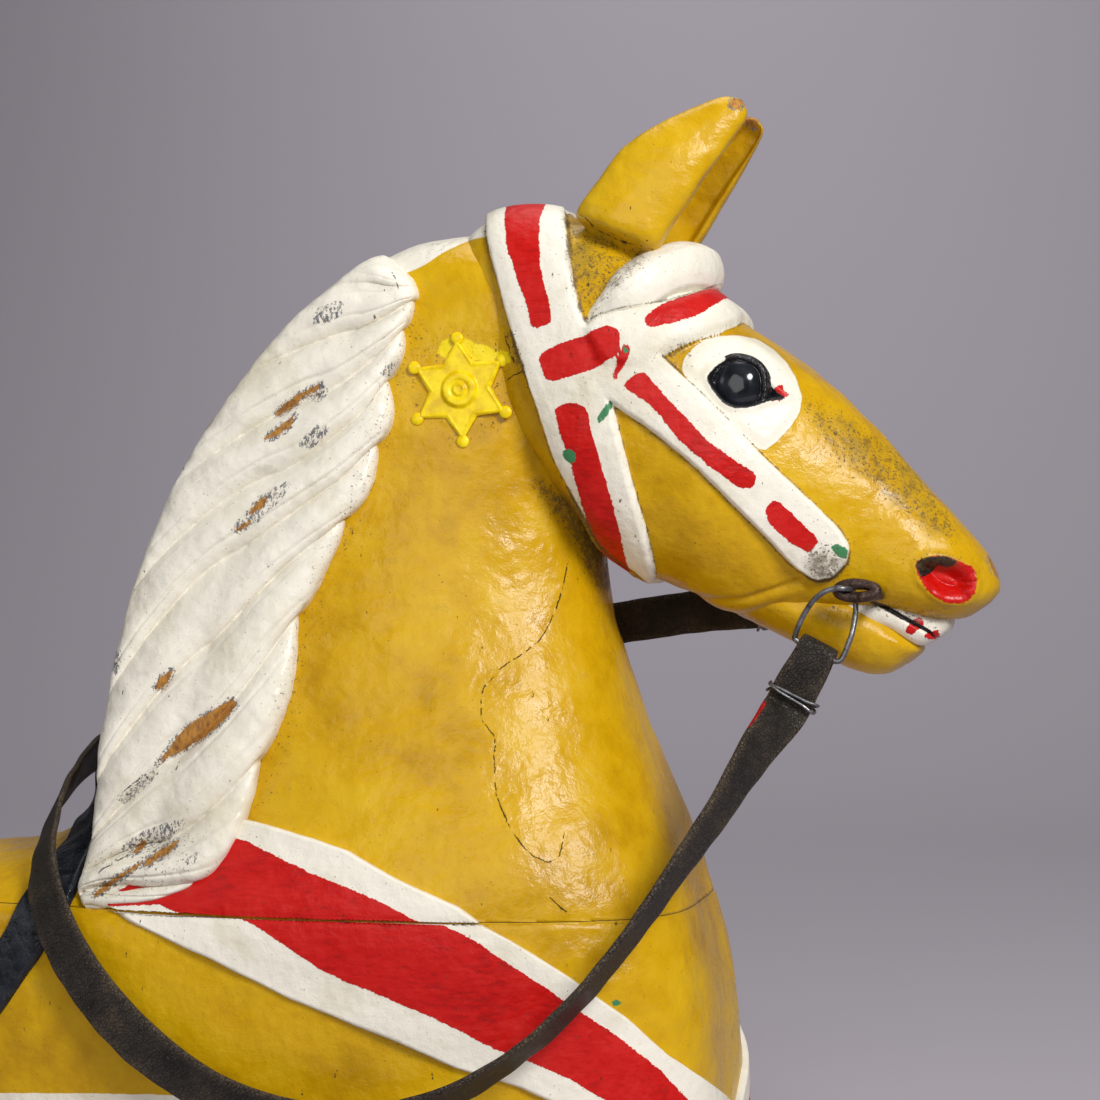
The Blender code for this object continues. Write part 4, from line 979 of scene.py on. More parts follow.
def head_block(paint):
    """The head down to the upper lip, with the raised bridle, eye sockets, nostrils and creases."""
    head = piece(lofted(HEAD_SECTIONS, (290, 250), share=0.62), "head", [paint], *HORSE)
    places = places_of(head)
    spots = seen(places)
    straps = inside_any(spots, [CROWN_STRAP, CHEEK_STRAP])
    band = inside_by(spots, BROW_BAND)
    height = np.maximum(strap_height(straps), strap_height(band) + 2.2 * smooth_step(band, 0.0, 12.0))
    height = np.maximum(height, 1.6 * smooth_step(inside_by(spots, EYE_WHITE, 20.0), -2.0, 12.0))
    rim = inside_by(spots, EYE_RIM, 20.0)
    height += 1.6 * np.exp(-((rim + 1.0) / 3.2) ** 2) - 5.0 * smooth_step(rim, 1.0, 6.0)
    nostril = inside_by(spots, NOSTRIL, 24.0)
    height += 1.1 * np.exp(-((nostril + 3.0) / 4.0) ** 2) - 9.0 * smooth_step(nostril, -1.0, 13.0)
    off_strap = 1.0 - smooth_step(np.maximum(straps, band), -1.5, 0.5)
    crease, shown = beside_line(spots, CHEEK_CREASE, 16.0)
    fold = -1.6 * np.exp(-(crease / 2.6) ** 2) + 0.9 * np.exp(-((crease - 8.0) / 6.0) ** 2)
    height += off_strap * (shown * fold + swelling(places, (0.5, 0.030, 7), (0.22, 0.011, 8)))
    height += (1.0 - off_strap) * swelling(places, (0.25, 0.020, 9))
    raise_skin(head, height)
    mark_paint(head, red=np.maximum(inside_any(spots, RED_AREAS), nostril * 0.8))


def jaw_and_teeth(paint, cream):
    jaw = piece(lofted(JAW_SECTIONS, (120, 100)), "lower_jaw", [paint], *HORSE)
    raise_skin(jaw, swelling(places_of(jaw), (0.35, 0.020, 11), (0.2, 0.008, 12)))
    mark_paint(jaw, white=UNPAINTED)
    teeth = piece(lofted(TEETH_SECTIONS, (90, 60)), "teeth", [cream], *HORSE)
    places = places_of(teeth)
    slit, shown = beside_line(seen(places), TEETH_SLIT)
    raise_skin(teeth, swelling(places, (0.2, 0.007, 13)) - 1.6 * shown * np.exp(-(slit / 1.3) ** 2))
    mark_paint(teeth)


def ears(paint):
    """Leaf-shaped ears, scooped hollow on the side that opens forwards and inwards."""
    for side, label in SIDES:
        def place(turn, at):
            rows = along(EAR_SECTIONS, at)
            x, y, z = section_places(rows, turn).T
            half, middle = rows[:, 4], rows[:, 8]
            share = (1.0 - np.cos(2.0 * math.pi * turn)) / 2.0
            scoop = 0.9 * smooth_step(share, 0.18, 0.5) * smooth_step(-share, -0.99, -0.86)
            scoop *= smooth_step(at, 0.22, 0.40) * smooth_step(-at, -0.97, -0.80)
            lean = side * middle + y
            hollow = side * (middle + np.abs(y) - 0.30 * half)
            y = np.where(y * side < 0, lean + (hollow - lean) * scoop, lean)
            return carved(np.stack([x, y, z], axis=1))
        ear = piece(rolled(fine(90), fine(110), place), f"ear_{label}", [paint], *HORSE)
        raise_skin(ear, swelling(places_of(ear), (0.35, 0.018, 15), (0.15, 0.007, 16)))
        mark_paint(ear, UNPAINTED, UNPAINTED)


def forelock(cream):
    """The lock that falls across the forehead from ear to ear."""
    whole = FORELOCK_PATH + [(x, -y, z, radius) for x, y, z, radius in FORELOCK_PATH[-2::-1]]

    def place(turn, at):
        rows = along(whole, at)
        ahead = along(whole, at + 0.01)[:, :3] - along(whole, at - 0.01)[:, :3]
        level = unit(np.cross(ahead, (1.0, 0.0, 0.6)))
        upright = unit(np.cross(level, ahead))
        closing = np.sqrt(np.clip(1.0 - np.abs(2.0 * at - 1.0) ** 8, 0.0, 1.0))
        angle = 2.0 * math.pi * turn
        strands = 1.0 - 0.07 * np.abs(np.sin(2.5 * angle + 4.0 * at)) ** 0.6
        size = (rows[:, 3] * closing * strands)[:, None]
        off = level * np.cos(angle)[:, None] + upright * np.sin(angle)[:, None]
        return carved(rows[:, :3] + off * size)
    lock = piece(rolled(fine(100), fine(130), place), "forelock", [cream], *HORSE)
    raise_skin(lock, swelling(places_of(lock), (0.3, 0.015, 18)))
    mark_paint(lock, red=UNPAINTED)


def mane(cream):
    """The rolled mane: slanting locks, each with a finer crease beside its deep groove."""
    def place(turn, at):
        outer = turn < MANE_OUTER_SHARE
        angle = math.pi * np.where(outer, turn / MANE_OUTER_SHARE,
                                   1.0 + (turn - MANE_OUTER_SHARE) / (1.0 - MANE_OUTER_SHARE))
        across = -np.cos(angle)
        slanted = at + MANE_SLANT * across * (1.0 - (2.0 * at - 1.0) ** 2)
        left_x, left_z, right_x, right_z, proud = along(MANE_SECTIONS, slanted).T
        middle_x, middle_z = (left_x + right_x) / 2, (left_z + right_z) / 2
        outward = np.maximum(0.0, np.sin(angle))
        lock = MANE_LOCKS * (at + 0.012 * np.sin(9.0 * at + 1.7 * across))
        number = np.floor(lock)
        share = lock - number
        spread = np.sin(number * 7.3 + 1.0)
        ridge = np.abs(np.sin(math.pi * share ** (0.85 + 0.12 * spread))) ** 0.62
        crease = np.exp(-((share - 0.26 - 0.05 * spread) / 0.038) ** 2) * (0.5 + 0.5 * np.sin(number * 3.1))
        second = np.exp(-((share - 0.78 + 0.06 * spread) / 0.030) ** 2) * (0.4 + 0.6 * np.cos(number * 5.7))
        fade = smooth_step(at, 0.0, 0.06) * smooth_step(-at, -0.95, -0.80)
        groove = fade * (MANE_LOCK_DEPTH_MM * (ridge - 1.0) - 2.6 * crease - 1.6 * second)
        closing = np.sqrt(np.clip(1.0 - np.abs(2.0 * at - 1.0) ** 24, 0.0, 1.0))
        raised = (proud + groove * outward ** 0.45) * outward ** 0.62
        depth = closing * np.where(outer, raised, MANE_SINK_MM * np.sin(angle))
        rounding = np.sign(across) * np.abs(across) ** 0.8
        rounding *= 1.0 + 0.13 * fade * (ridge - 0.7) * (across > 0) * np.abs(across) ** 3
        rounding *= np.clip(closing * 1.6, 0.0, 1.0)
        x = middle_x + (right_x - left_x) / 2 * rounding
        z = middle_z + (right_z - left_z) / 2 * rounding
        y = -body_half_width(np.maximum(x, middle_x), z) - depth + 5.0 * (1.0 - closing)
        return carved(np.stack([x, y, z], axis=1))

    made = piece(rolled(fine(140), fine(500), place), "mane", [cream], *HORSE)
    raise_skin(made, swelling(places_of(made), (0.35, 0.018, 21), (0.16, 0.006, 22)))
    mark_paint(made, red=UNPAINTED)


def over_and_under(turn, outer_share):
    """Which points round a band are on its outer face, and how far across the band each point is."""
    outer = turn < outer_share
    return outer, np.where(outer, turn / outer_share, 1.0 - (turn - outer_share) / (1.0 - outer_share))


def band_lift(outer, edge_mm, relief, soft_mm):
    """A band's height over the skin: rounded up from its edges outside, and buried underneath."""
    proud = (relief + BURY_MM) * np.clip(edge_mm / soft_mm, 0.0, 1.0) ** 0.45
    return np.where(outer, proud - BURY_MM, -BURY_MM)[:, None]


def collar_band():
    """The raised collar, which follows two edges of the side view round the body."""
    edges = [np.array(edge, float).T for edge in (COLLAR_LOWER_EDGE, COLLAR_UPPER_EDGE)]

    def body(turn, at):
        return section_places(along(BODY_SECTIONS, at), turn)

    def at_edge(turn, edge_x, edge_z):
        low, high = np.full(len(turn), 0.0), np.full(len(turn), 0.75)
        for _ in range(HALVINGS):
            middle = (low + high) / 2
            x, y, z = body(turn, middle).T
            fall = COLLAR_FALL * np.maximum(0.0, COLLAR_FALL_FROM_MM - np.abs(y))
            under = z < np.interp(x, edge_x, edge_z) - fall
            low, high = np.where(under, middle, low), np.where(under, high, middle)
        return (low + high) / 2

    def place(round_band, along_band):
        turn = COLLAR_TURNS[0] + (COLLAR_TURNS[1] - COLLAR_TURNS[0]) * along_band
        bottom, top = (at_edge(turn, *edge) for edge in edges)
        outer, across = over_and_under(round_band, 0.8)
        at = bottom + (top - bottom) * across
        step = 0.002
        normal = unit(np.cross(body(turn + step, at) - body(turn - step, at),
                               body(turn, at + step) - body(turn, at - step)))
        edge_mm = np.minimum(across, 1.0 - across) * (top - bottom) * (len(BODY_SECTIONS) - 1) * BODY_ROW_MM
        return carved(body(turn, at) + normal * band_lift(outer, edge_mm, COLLAR_RELIEF_MM, 2.2))
    return rolled(fine(100), fine(440), place)


def body_half_width(x, z):
    """How far the body's skin is from its middle at places of the side view, in millimetres."""
    low, high = np.zeros(len(x)), np.ones(len(x))
    for _ in range(HALVINGS):
        at = (low + high) / 2
        rows = along(BODY_SECTIONS, at)
        share = np.clip((x - rows[:, 0]) / (rows[:, 2] - rows[:, 0]), 0.0, 1.0)
        under = rows[:, 1] + (rows[:, 3] - rows[:, 1]) * share < z
        low, high = np.where(under, at, low), np.where(under, high, at)
    turn = np.arccos(1.0 - 2.0 * share) / (2.0 * math.pi)
    return -section_places(rows, turn)[:, 1]


def saddle_strap(black):
    """What the rear cut leaves of the black saddle strap: a short stretch on each side."""
    edges = [evened(edge, 60) for edge in (SADDLE_STRAP_REAR_EDGE, SADDLE_STRAP_FRONT_EDGE)]
    for side, label in SIDES:
        def place(round_band, along_band):
            outer, across = over_and_under(round_band, 0.78)
            steps = np.linspace(0.0, 1.0, len(edges[0]))
            rear, front = (np.array([np.interp(along_band, steps, axis) for axis in edge.T])
                           for edge in edges)
            x, z = rear + (front - rear) * across
            slope_x = (body_half_width(x + 1.5, z) - body_half_width(x - 1.5, z)) / 3.0
            slope_z = (body_half_width(x, z + 1.5) - body_half_width(x, z - 1.5)) / 3.0
            normal = unit(np.stack([-slope_x, np.ones(len(x)), -slope_z], axis=1))
            edge_mm = np.minimum(across, 1.0 - across) * np.hypot(*(front - rear))
            lift = band_lift(outer, edge_mm, SADDLE_STRAP_RELIEF_MM, 2.5)
            spots = np.stack([x, body_half_width(x, z), z], axis=1) + normal * lift
            return carved(spots * (1.0, side, 1.0))
        bm = rolled(fine(50), fine(200), place)
        keep_side(bm, "x", REAR_X, -1)
        strap = piece(bm, f"saddle_strap_{label}", [black], *HORSE)
        places = places_of(strap)
        swell = swelling(places, (0.7, 0.022, 27), (0.3, 0.009, 28))
        raise_skin(strap, swell * smooth_step(places[:, 0], REAR_X + 0.0005, REAR_X + 0.005))


def collar(paint):
    """The red collar with its cream borders, cut at the open joint."""
    for name, dropped, red_outline, shift in (("collar_upper", -1, COLLAR_RED_UPPER_BLOCK, 0.0),
                                              ("collar_lower", 1, COLLAR_RED_LOWER_BLOCK, -0.6)):
        bm = collar_band()
        keep_side(bm, "z", JOINT_HEIGHT - dropped * COLLAR_JOINT_GAP, dropped)
        keep_side(bm, "x", COLLAR_REAR_X, -1)
        keep_side(bm, "z", 0.0, -1)
        band = piece(bm, name, [paint], *HORSE)
        places = places_of(band)
        near_joint = smooth_step(-np.abs(places[:, 2] - JOINT_HEIGHT), -0.004, 0.0)
        raise_skin(band, shift + swelling(places, (0.30, 0.035, 25), (0.12, 0.010, 26)) - 0.5 * near_joint)
        mark_paint(band, white=-UNPAINTED, red=inside_by(seen(places), red_outline))


# Fittings

def frames_along(points, closed=False):
    """The middle, side and upright of a line at each of its points, turned as little as possible."""
    points = np.asarray(points, float)
    if closed:
        ahead = unit(np.roll(points, -1, axis=0) - np.roll(points, 1, axis=0))
    else:
        ahead = unit(np.gradient(points, axis=0))
    side = np.cross(ahead[0], (0.3, 0.2, 0.9))
    sides = []
    for way in ahead:
        side = side - way * np.dot(side, way)
        side /= np.linalg.norm(side)
        sides.append(side)
    sides = np.array(sides)
    if closed:
        last = sides[-1] - ahead[0] * np.dot(sides[-1], ahead[0])
        slip = math.atan2(np.dot(np.cross(sides[0], last), ahead[0]), np.dot(sides[0], last))
        angle = -slip * np.arange(len(points))[:, None] / (len(points) - 1)
        sides = sides * np.cos(angle) + np.cross(ahead, sides) * np.sin(angle)
    return points, sides, np.cross(ahead, sides)


def travel_along(places):
    """How far along a line each of its points lies."""
    return np.concatenate([[0.0], np.cumsum(np.linalg.norm(np.diff(places, axis=0), axis=1))])


def evened(points, count, closed=False):
    """The same line with evenly spaced points, on a smooth curve through the given ones."""
    points = np.asarray(points, float)
    if closed:
        points = np.concatenate([points, points[:1]])
    dense = along(points, np.linspace(0.0, 1.0, 40 * len(points)))
    travel = travel_along(dense[:, :3])
    spots = np.linspace(0.0, travel[-1], count)
    return np.stack([np.interp(spots, travel, column) for column in dense.T], axis=1)


def rod(points, radius, around=20, closed=False, uneven=0.0):
    """A round rod along a line, its ends rounded over unless it closes on itself."""
    middles, sides, uprights = frames_along(points[:-1] if closed else points, closed)
    if closed:
        middles, sides, uprights = (np.concatenate([part, part[:1]]) for part in (middles, sides, uprights))
    count = len(middles)
    travel = travel_along(middles)
    near_end = np.minimum(travel, travel[-1] - travel)
    cap = np.ones(count) if closed else np.sqrt(1.0 - (1.0 - np.clip(near_end / radius, 0.0, 1.0)) ** 2)

    def place(turn, at):
        i = np.round(at * (count - 1)).astype(int)
        angle = 2.0 * math.pi * turn
        reach = radius * np.maximum(cap[i], 0.002)
        off = sides[i] * np.cos(angle)[:, None] + uprights[i] * np.sin(angle)[:, None]
        spots = middles[i] + off * reach[:, None]
        if uneven:
            spots += (spots - middles[i]) * lumps(middles[i], 0.006, 31)[:, None] * uneven
        return spots
    return rolled(around, count - 1, place)


def back_and_front(at):
    """For a flat-backed round form: which rows are on its front, and how far out from its middle each is."""
    front = at >= BACK_SHARE
    return front, np.where(front, 1.0 - (at - BACK_SHARE) / (1.0 - BACK_SHARE), at / BACK_SHARE)


def glass_eyes(glass):
    """Domed glass, seated where the solid's eye sits."""
    for side, label in SIDES:
        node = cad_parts[f"glass_eye_{label}"]
        spots = np.array([v.co for v in node.data.vertices])
        outward = Vector((EYE_FORWARD, side, EYE_UPWARD)).normalized()
        heights = spots @ np.array(outward)
        seat = Vector(spots.mean(0))
        seat += outward * (heights.max() - EYE_CAD_BULGE - seat.dot(outward))
        turned = outward.to_track_quat("Z", "X").to_matrix()

        def place(turn, at):
            angle = 2.0 * math.pi * turn
            front, share = back_and_front(at)
            radius = EYE_RADIUS * share
            lid = EYE_LID_RADIUS * (1.0 + 0.05 * np.sin(angle * 2 + 1.0) + 0.03 * np.sin(angle * 5))
            dome = EYE_BULGE * np.sqrt(np.clip(1.0 - (radius / lid) ** 2, 0.0, 1.0)) ** 0.9
            ring = EYE_RING_HEIGHT * np.sqrt(np.clip(1.0 - ((radius / lid - 1.13) / 0.19) ** 2, 0.0, 1.0))
            top = np.maximum(dome, ring * (1.0 + 0.2 * np.sin(angle * 3) + 0.12 * np.sin(angle * 7)))
            top = np.where(radius > 0.97 * EYE_RADIUS, -EYE_EDGE_DEPTH, top)
            height = np.where(front, top, -EYE_BACK_DEPTH)
            return np.stack([radius * np.cos(angle), radius * np.sin(angle), height], axis=1)
        bm = rolled(fine(72), fine(84), place)
        bmesh.ops.transform(bm, verts=bm.verts, matrix=Matrix.Translation(seat) @ turned.to_4x4())
        eye = piece(bm, f"eye_glass_{label}", [glass], "black_glass", f"glass_eye_{label}")
        off = places_of(eye) - np.array(seat)
        across = np.linalg.norm(off - np.outer(off @ np.array(outward), np.array(outward)), axis=1)
        note(eye, "painted", smooth_step(across, EYE_LID_RADIUS * 0.90, EYE_LID_RADIUS))


def star_reach(angle):
    """How far the star's edge is from its middle in one direction."""
    sector = math.pi / STAR_POINTS
    off = np.abs((angle - math.pi / 2 + sector) % (2 * sector) - sector)
    tip = STAR_RADIUS - STAR_BALL_RADIUS
    slope_x, slope_y = STAR_WAIST * math.cos(sector) - tip, STAR_WAIST * math.sin(sector)
    return tip * slope_y / (np.cos(off) * slope_y - np.sin(off) * slope_x)


def star(paint):
    """The pressed toy badge: a pillowed star with a ball on each point and a stepped boss."""
    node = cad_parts["star_badge"]
    spots = np.array([v.co for v in node.data.vertices])
    back = max(node.data.polygons, key=lambda face: face.area)
    normal = Vector(back.normal) * (-1.0 if back.normal.y > 0 else 1.0)
    seat = Vector(spots.mean(0))
    seat += normal * ((spots @ np.array(normal)).min() - seat.dot(normal))
    upright = Matrix.Rotation(math.radians(-STAR_LEAN_DEGREES), 4, "Z")
    seated = Matrix.Translation(seat) @ normal.to_track_quat("Z", "Y").to_matrix().to_4x4() @ upright

    def place(turn, at):
        angle = 2.0 * math.pi * turn
        far = star_reach(angle)
        front, share = back_and_front(at)
        radius = far * share
        edge = (far - radius) * 0.6
        pillow = STAR_THICKNESS * (0.45 + 0.55 * np.clip(edge / 0.0016, 0.0, 1.0) ** 0.5)
        pillow += 0.0004 * np.exp(-((edge - 0.0013) / 0.0008) ** 2)
        step = smooth_step(-radius, -STAR_BOSS_RADIUS * 1.08, -STAR_BOSS_RADIUS * 0.84)
        groove = np.exp(-((radius - STAR_BOSS_RADIUS * 0.47) / 0.0011) ** 2)
        core = np.exp(-((radius - STAR_BOSS_RADIUS * 0.27) / 0.0008) ** 2)
        height = pillow + STAR_BOSS_HEIGHT * step - 0.0008 * groove + 0.0004 * core
        height = np.where(front, height, 0.0)
        return np.stack([radius * np.cos(angle), radius * np.sin(angle), height], axis=1)
    bm = rolled(fine(200), fine(70), place)
    for k in range(STAR_POINTS):
        angle = math.pi / 2 + math.tau * k / STAR_POINTS
        middle = Vector((math.cos(angle), math.sin(angle), 0.0)) * (STAR_RADIUS - STAR_BALL_RADIUS)
        middle.z = STAR_THICKNESS * 0.55
        flat = Matrix.Translation(middle) @ Matrix.Diagonal((1.0, 1.0, STAR_BALL_FLATNESS, 1.0))
        bmesh.ops.create_uvsphere(bm, u_segments=28, v_segments=14, radius=STAR_BALL_RADIUS, matrix=flat)
    bmesh.ops.transform(bm, verts=bm.verts, matrix=seated)
    piece(bm, "star", [paint], "badge_paint", "star_badge")


def swung(x, z, out, plane, side):
    """A point of the right link's line on either side of the horse."""
    turn = -LEFT_LINK_SWING if side > 0 else 0.0
    reach_x, reach_z = x - LINK_PIVOT[0], z - LINK_PIVOT[1]
    x = LINK_PIVOT[0] + reach_x * math.cos(turn) - reach_z * math.sin(turn)
    z = LINK_PIVOT[1] + reach_x * math.sin(turn) + reach_z * math.cos(turn)
    return Vector(carved((x, 0.0, z))) + Vector((0.0, plane + side * out * MM, 0.0))


def bit_and_link(iron, steel, side, label):
    """The iron eye out of the mouth's corner, and the wire link that hangs in it."""
    low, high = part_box(f"bit_eye_{label}")
    corner = Vector(carved((BIT_PLACE[0], 0.0, BIT_PLACE[1])))
    corner.y = high.y - BIT_SHANK_DEPTH if side < 0 else low.y + BIT_SHANK_DEPTH
    plane = corner.y + side * BIT_STAND_OFF
    ring = Vector((corner.x - BIT_RING_LENGTH / 2, plane, corner.z + BIT_RING_HEIGHT * 0.35))
    line = [corner - Vector((0.0, side * BIT_SHANK_DEPTH, 0.0)), corner,
            Vector((corner.x, plane - side * BIT_NECK, corner.z))]
    for i in range(BIT_RING_STEPS + 1):
        angle = math.radians(BIT_RING_START_DEGREES - BIT_RING_STEP_DEGREES * i)
        line.append(ring + Vector((math.cos(angle) * BIT_RING_LENGTH / 2,
                                   side * BIT_RING_SPREAD * (i / BIT_RING_STEPS) ** 3,
                                   math.sin(angle) * BIT_RING_HEIGHT / 2)))
    eye = rod(evened(line, fine(150)), BIT_ROD_RADIUS, 24, uneven=0.06)
    piece(eye, f"iron_eye_{label}", [iron], "bit_iron", f"bit_eye_{label}")
    corners = [swung(x, z, out, plane, side) for x, z, out in LINK_LINE]
    points = []
    for i, spot in enumerate(corners):
        for other in (corners[i - 1], corners[(i + 1) % len(corners)]):
            points.append(spot.lerp(other, min(0.4, LINK_CORNER_RADIUS / (spot - other).length)))
    link = rod(evened(points, fine(240), True), LINK_WIRE_RADIUS, 20, True)
    piece(link, f"hung_link_{label}", [steel], "steel_wire", f"wire_link_{label}")
    return plane


def fold_stations(bar, binding, side):
    """A strap end's way from its tip, behind, up and round the link's bar, and back down in front."""
    inward = (bar - binding).normalized()
    face = Vector((0.0, side, 0.0))
    face = (face - inward * face.dot(inward)).normalized()
    layer = REIN_THICKNESS / 2 + LINK_WIRE_RADIUS + FIT_GAP * 2
    close = REIN_THICKNESS / 2 + FIT_GAP
    middle = binding.lerp(bar, 0.5)
    wide = (REIN_WIDTH + REIN_FOLD_WIDTH) / 2
    stations = [(binding - inward * REIN_TIP_LENGTH - face * close, -face, REIN_WIDTH * 0.9),
                (binding - face * close, -face, REIN_WIDTH * 0.9),
                (middle - face * layer, -face, wide),
                (bar - inward * layer * 0.5 - face * layer, -face, REIN_FOLD_WIDTH)]
    for degrees in range(0, 181, 30):
        angle = math.radians(degrees)
        turn = -face * math.cos(angle) + inward * math.sin(angle)
        stations.append((bar + turn * layer, turn, REIN_FOLD_WIDTH))
    return stations + [(middle + face * layer, face, wide), (binding + face * close, face, REIN_WIDTH),
                       (binding - inward * REIN_TIP_LENGTH + face * close, face, REIN_WIDTH)]


def nearest_rows(places, middles, block=4000):
    """Which row of a line lies nearest to each place, worked out for a block of places at a time."""
    squares = (middles ** 2).sum(axis=1)
    return np.concatenate([np.argmin(squares - 2.0 * places[start:start + block] @ middles.T, axis=1)
                           for start in range(0, len(places), block)])


def rein(leather, steel, planes):
    """The one strap: the right fold, the slack loop round the neck, and the left fold."""
    ends = []
    for side, label in SIDES:
        bar, binding = (swung(x, z, 2, planes[label], side) for x, z in (REIN_BAR, REIN_BINDING))
        ends.append([[*spot, *face, width] for spot, face, width in fold_stations(bar, binding, side)])
    between = [[*carved(row[:3]), *row[3:], REIN_WIDTH] for row in REIN_ROUTE]
    route = [ends[0][-1], *between, ends[1][-1]]
    count = 2 * (len(route) - 1)
    loop = [list(row) for row in along(route, np.arange(1, count) / count)]
    rows = evened(ends[0] + loop + ends[1][::-1], fine(900))
    middles, faces, widths = rows[:, :3], rows[:, 3:6], rows[:, 6]
    ahead = unit(np.gradient(middles, axis=0))
    level = unit(np.cross(ahead, faces))
    proud = np.cross(level, ahead)
    tips = np.minimum(np.arange(len(rows)), np.arange(len(rows))[::-1]) / REIN_TIP_ROWS
    tip_round = np.sqrt(np.clip(1.0 - (1.0 - np.clip(tips, 0.0, 1.0)) ** 2, 0.02, 1.0))

    def place(turn, at):
        i = np.round(at * (len(rows) - 1)).astype(int)
        angle = 2.0 * math.pi * turn
        wide, thick = np.cos(angle), np.sin(angle)
        across = np.sign(wide) * np.abs(wide) ** 0.28 * widths[i] / 2 * (0.92 + 0.08 * tip_round[i])
        up = np.sign(thick) * np.abs(thick) ** 0.45 * REIN_THICKNESS / 2 * tip_round[i]
        spots = middles[i] + level[i] * across[:, None] + proud[i] * up[:, None]
        wear = lumps(middles[i] + level[i] * across[:, None] * 0.4, 0.013, 41) * REIN_WEAR
        return spots + proud[i] * wear[:, None] + level[i] * (np.sign(wide) * wear * 0.8)[:, None]
    strap = piece(rolled(fine(44), len(rows) - 1, place), "rein_strap", [leather], "rein_leather", "rein")
    places = places_of(strap)
    nearest = nearest_rows(places, middles)
    off = np.abs(np.einsum("ij,ij->i", places - middles[nearest], level[nearest])) / (widths[nearest] / 2)
    note(strap, "edge", off)
    note(strap, "red", np.where(places[:, 1] < 0, inside_by(seen(places), REIN_RED_DAB), UNPAINTED))
    for (_, label), fold in zip(SIDES, ends):
        first, second = Vector(fold[1][:3]), Vector(fold[-2][:3])
        middle, face = (first + second) / 2, (second - first).normalized()
        ahead_there = (Vector(fold[0][:3]) - first).normalized()
        wire_binding(steel, middle, ahead_there, face, label)
    length = float(np.linalg.norm(np.diff(middles, axis=0), axis=1).sum())


def wire_binding(steel, middle, ahead, face, label):
    """Two turns of thin wire round the folded strap."""
    level = ahead.cross(face).normalized()
    proud = level.cross(ahead).normalized()
    half_wide = REIN_WIDTH / 2 + BINDING_WIRE_RADIUS + BINDING_SLACK
    half_thick = REIN_THICKNESS + FIT_GAP + BINDING_WIRE_RADIUS + BINDING_SLACK
    points = []
    for i in range(BINDING_TURNS * BINDING_TURN_STEPS + 1):
        turns = i / BINDING_TURN_STEPS
        angle = math.tau * turns
        wide, thick = math.cos(angle), math.sin(angle)
        wide = math.copysign(abs(wide) ** 0.35, wide)
        thick = math.copysign(abs(thick) ** 0.35, thick)
        climb = ahead * BINDING_WIRE_RADIUS * (2.9 * (turns - 1.0) + 1.3 * math.sin(angle * 1.5 + 0.7))
        points.append(middle + level * half_wide * wide + proud * half_thick * thick + climb)
    wire = rod(evened(points, fine(420)), BINDING_WIRE_RADIUS, 14)
    return piece(wire, f"thin_wire_{label}", [steel], "steel_wire", f"rein_binding_{label}")


def main():
    paint = old_paint("mustard enamel", "yellow")
    cream = old_paint("cream enamel", "cream")
    neck_blocks(paint, sawn_wood("sawn planks"))
    head_block(paint)
    jaw_and_teeth(paint, cream)
    ears(paint)
    forelock(cream)
    mane(cream)
    collar(paint)
    saddle_strap(black_enamel("black enamel"))
    glass_eyes(eye_glass("eye glass"))
    star(badge_paint("lemon enamel"))
    iron, steel = old_iron("old iron"), grey_wire("grey wire")
    planes = {label: bit_and_link(iron, steel, side, label) for side, label in SIDES}
    rein(rein_leather("rein leather"), steel, planes)
    camera()
    lights()
    backdrop()


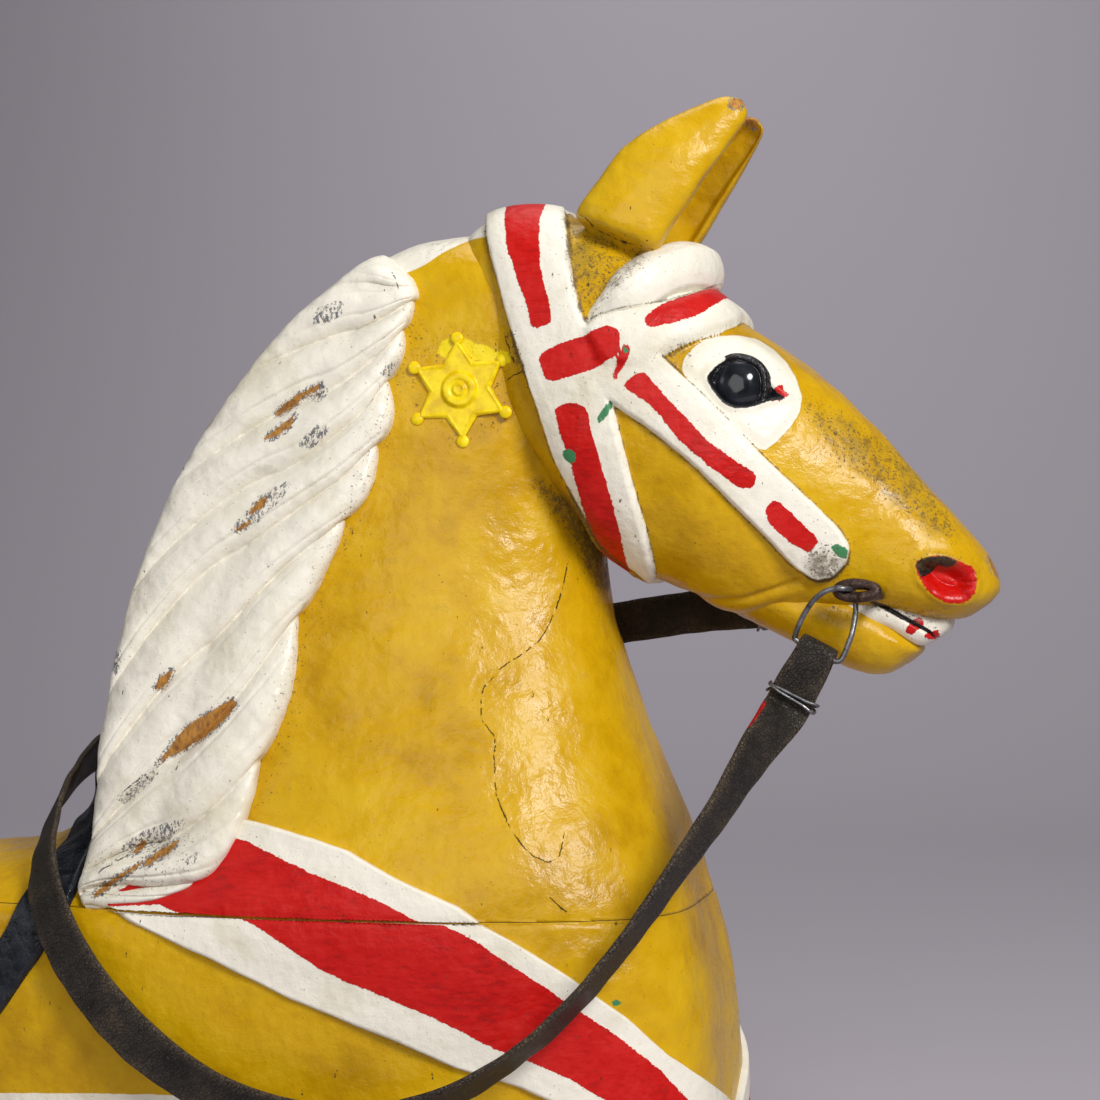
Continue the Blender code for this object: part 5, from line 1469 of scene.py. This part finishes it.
def camera():
    scene = bpy.context.scene
    lens = bpy.data.cameras.new("camera")
    lens.sensor_width = SENSOR_MM
    lens.lens = SENSOR_MM * CAMERA_FOCUS_PIXELS / PHOTO_PIXELS
    seat = bpy.data.objects.new("camera", lens)
    away = Vector((math.sin(CAMERA_TURN), -math.cos(CAMERA_TURN), 0.0))
    seat.location = CAMERA_AIM + away * CAMERA_DISTANCE
    seat.rotation_euler = (math.pi / 2, 0.0, CAMERA_TURN)
    scene.collection.objects.link(seat)
    scene.camera = seat
    scene.view_settings.view_transform = "Standard"


def lights():
    scene = bpy.context.scene
    for name, place, size, power, target in SOFTBOXES:
        lamp = bpy.data.lights.new(name, "AREA")
        lamp.shape = "DISK"
        lamp.size = size
        lamp.energy = power
        stand = bpy.data.objects.new(name, lamp)
        stand.location = place
        stand.rotation_euler = (Vector(target) - Vector(place)).to_track_quat("-Z", "Y").to_euler()
        scene.collection.objects.link(stand)
    world = bpy.data.worlds.new("studio")
    world.use_nodes = True
    world.node_tree.nodes["Background"].inputs["Color"].default_value = (*STUDIO_COLOUR, 1.0)
    world.node_tree.nodes["Background"].inputs["Strength"].default_value = STUDIO_LIGHT
    scene.world = world


def backdrop():
    """The paper sweep: a floor, a bend and a wall."""
    wall_from = SWEEP_FLOOR_ROWS + SWEEP_BEND_ROWS
    bm = bmesh.new()
    bmesh.ops.create_grid(bm, x_segments=1, y_segments=60, size=1.0)
    for v in bm.verts:
        depth = (v.co.y + 1.0) / 2.0
        bend = min(max((depth - SWEEP_FLOOR_ROWS) / SWEEP_BEND_ROWS, 0.0), 1.0) * math.pi / 2
        floor = min(depth / SWEEP_FLOOR_ROWS, 1.0) * SWEEP_FLOOR
        wall = max(depth - wall_from, 0.0) / (1.0 - wall_from) * SWEEP_WALL
        v.co = Vector((v.co.x * SWEEP_HALF_WIDTH, SWEEP_START_Y + floor + math.sin(bend) * SWEEP_BEND_RADIUS,
                       (1 - math.cos(bend)) * SWEEP_BEND_RADIUS + wall))
    mesh = bpy.data.meshes.new("paper sweep")
    for face in bm.faces:
        face.smooth = True
    bm.to_mesh(mesh)
    bm.free()
    sweep = bpy.data.objects.new("paper_sweep", mesh)
    bpy.context.scene.collection.objects.link(sweep)
    paper = Finish("pale paper", 0.5)
    mesh.materials.append(paper.done(PAPER_COLOUR, 0.9))


main()
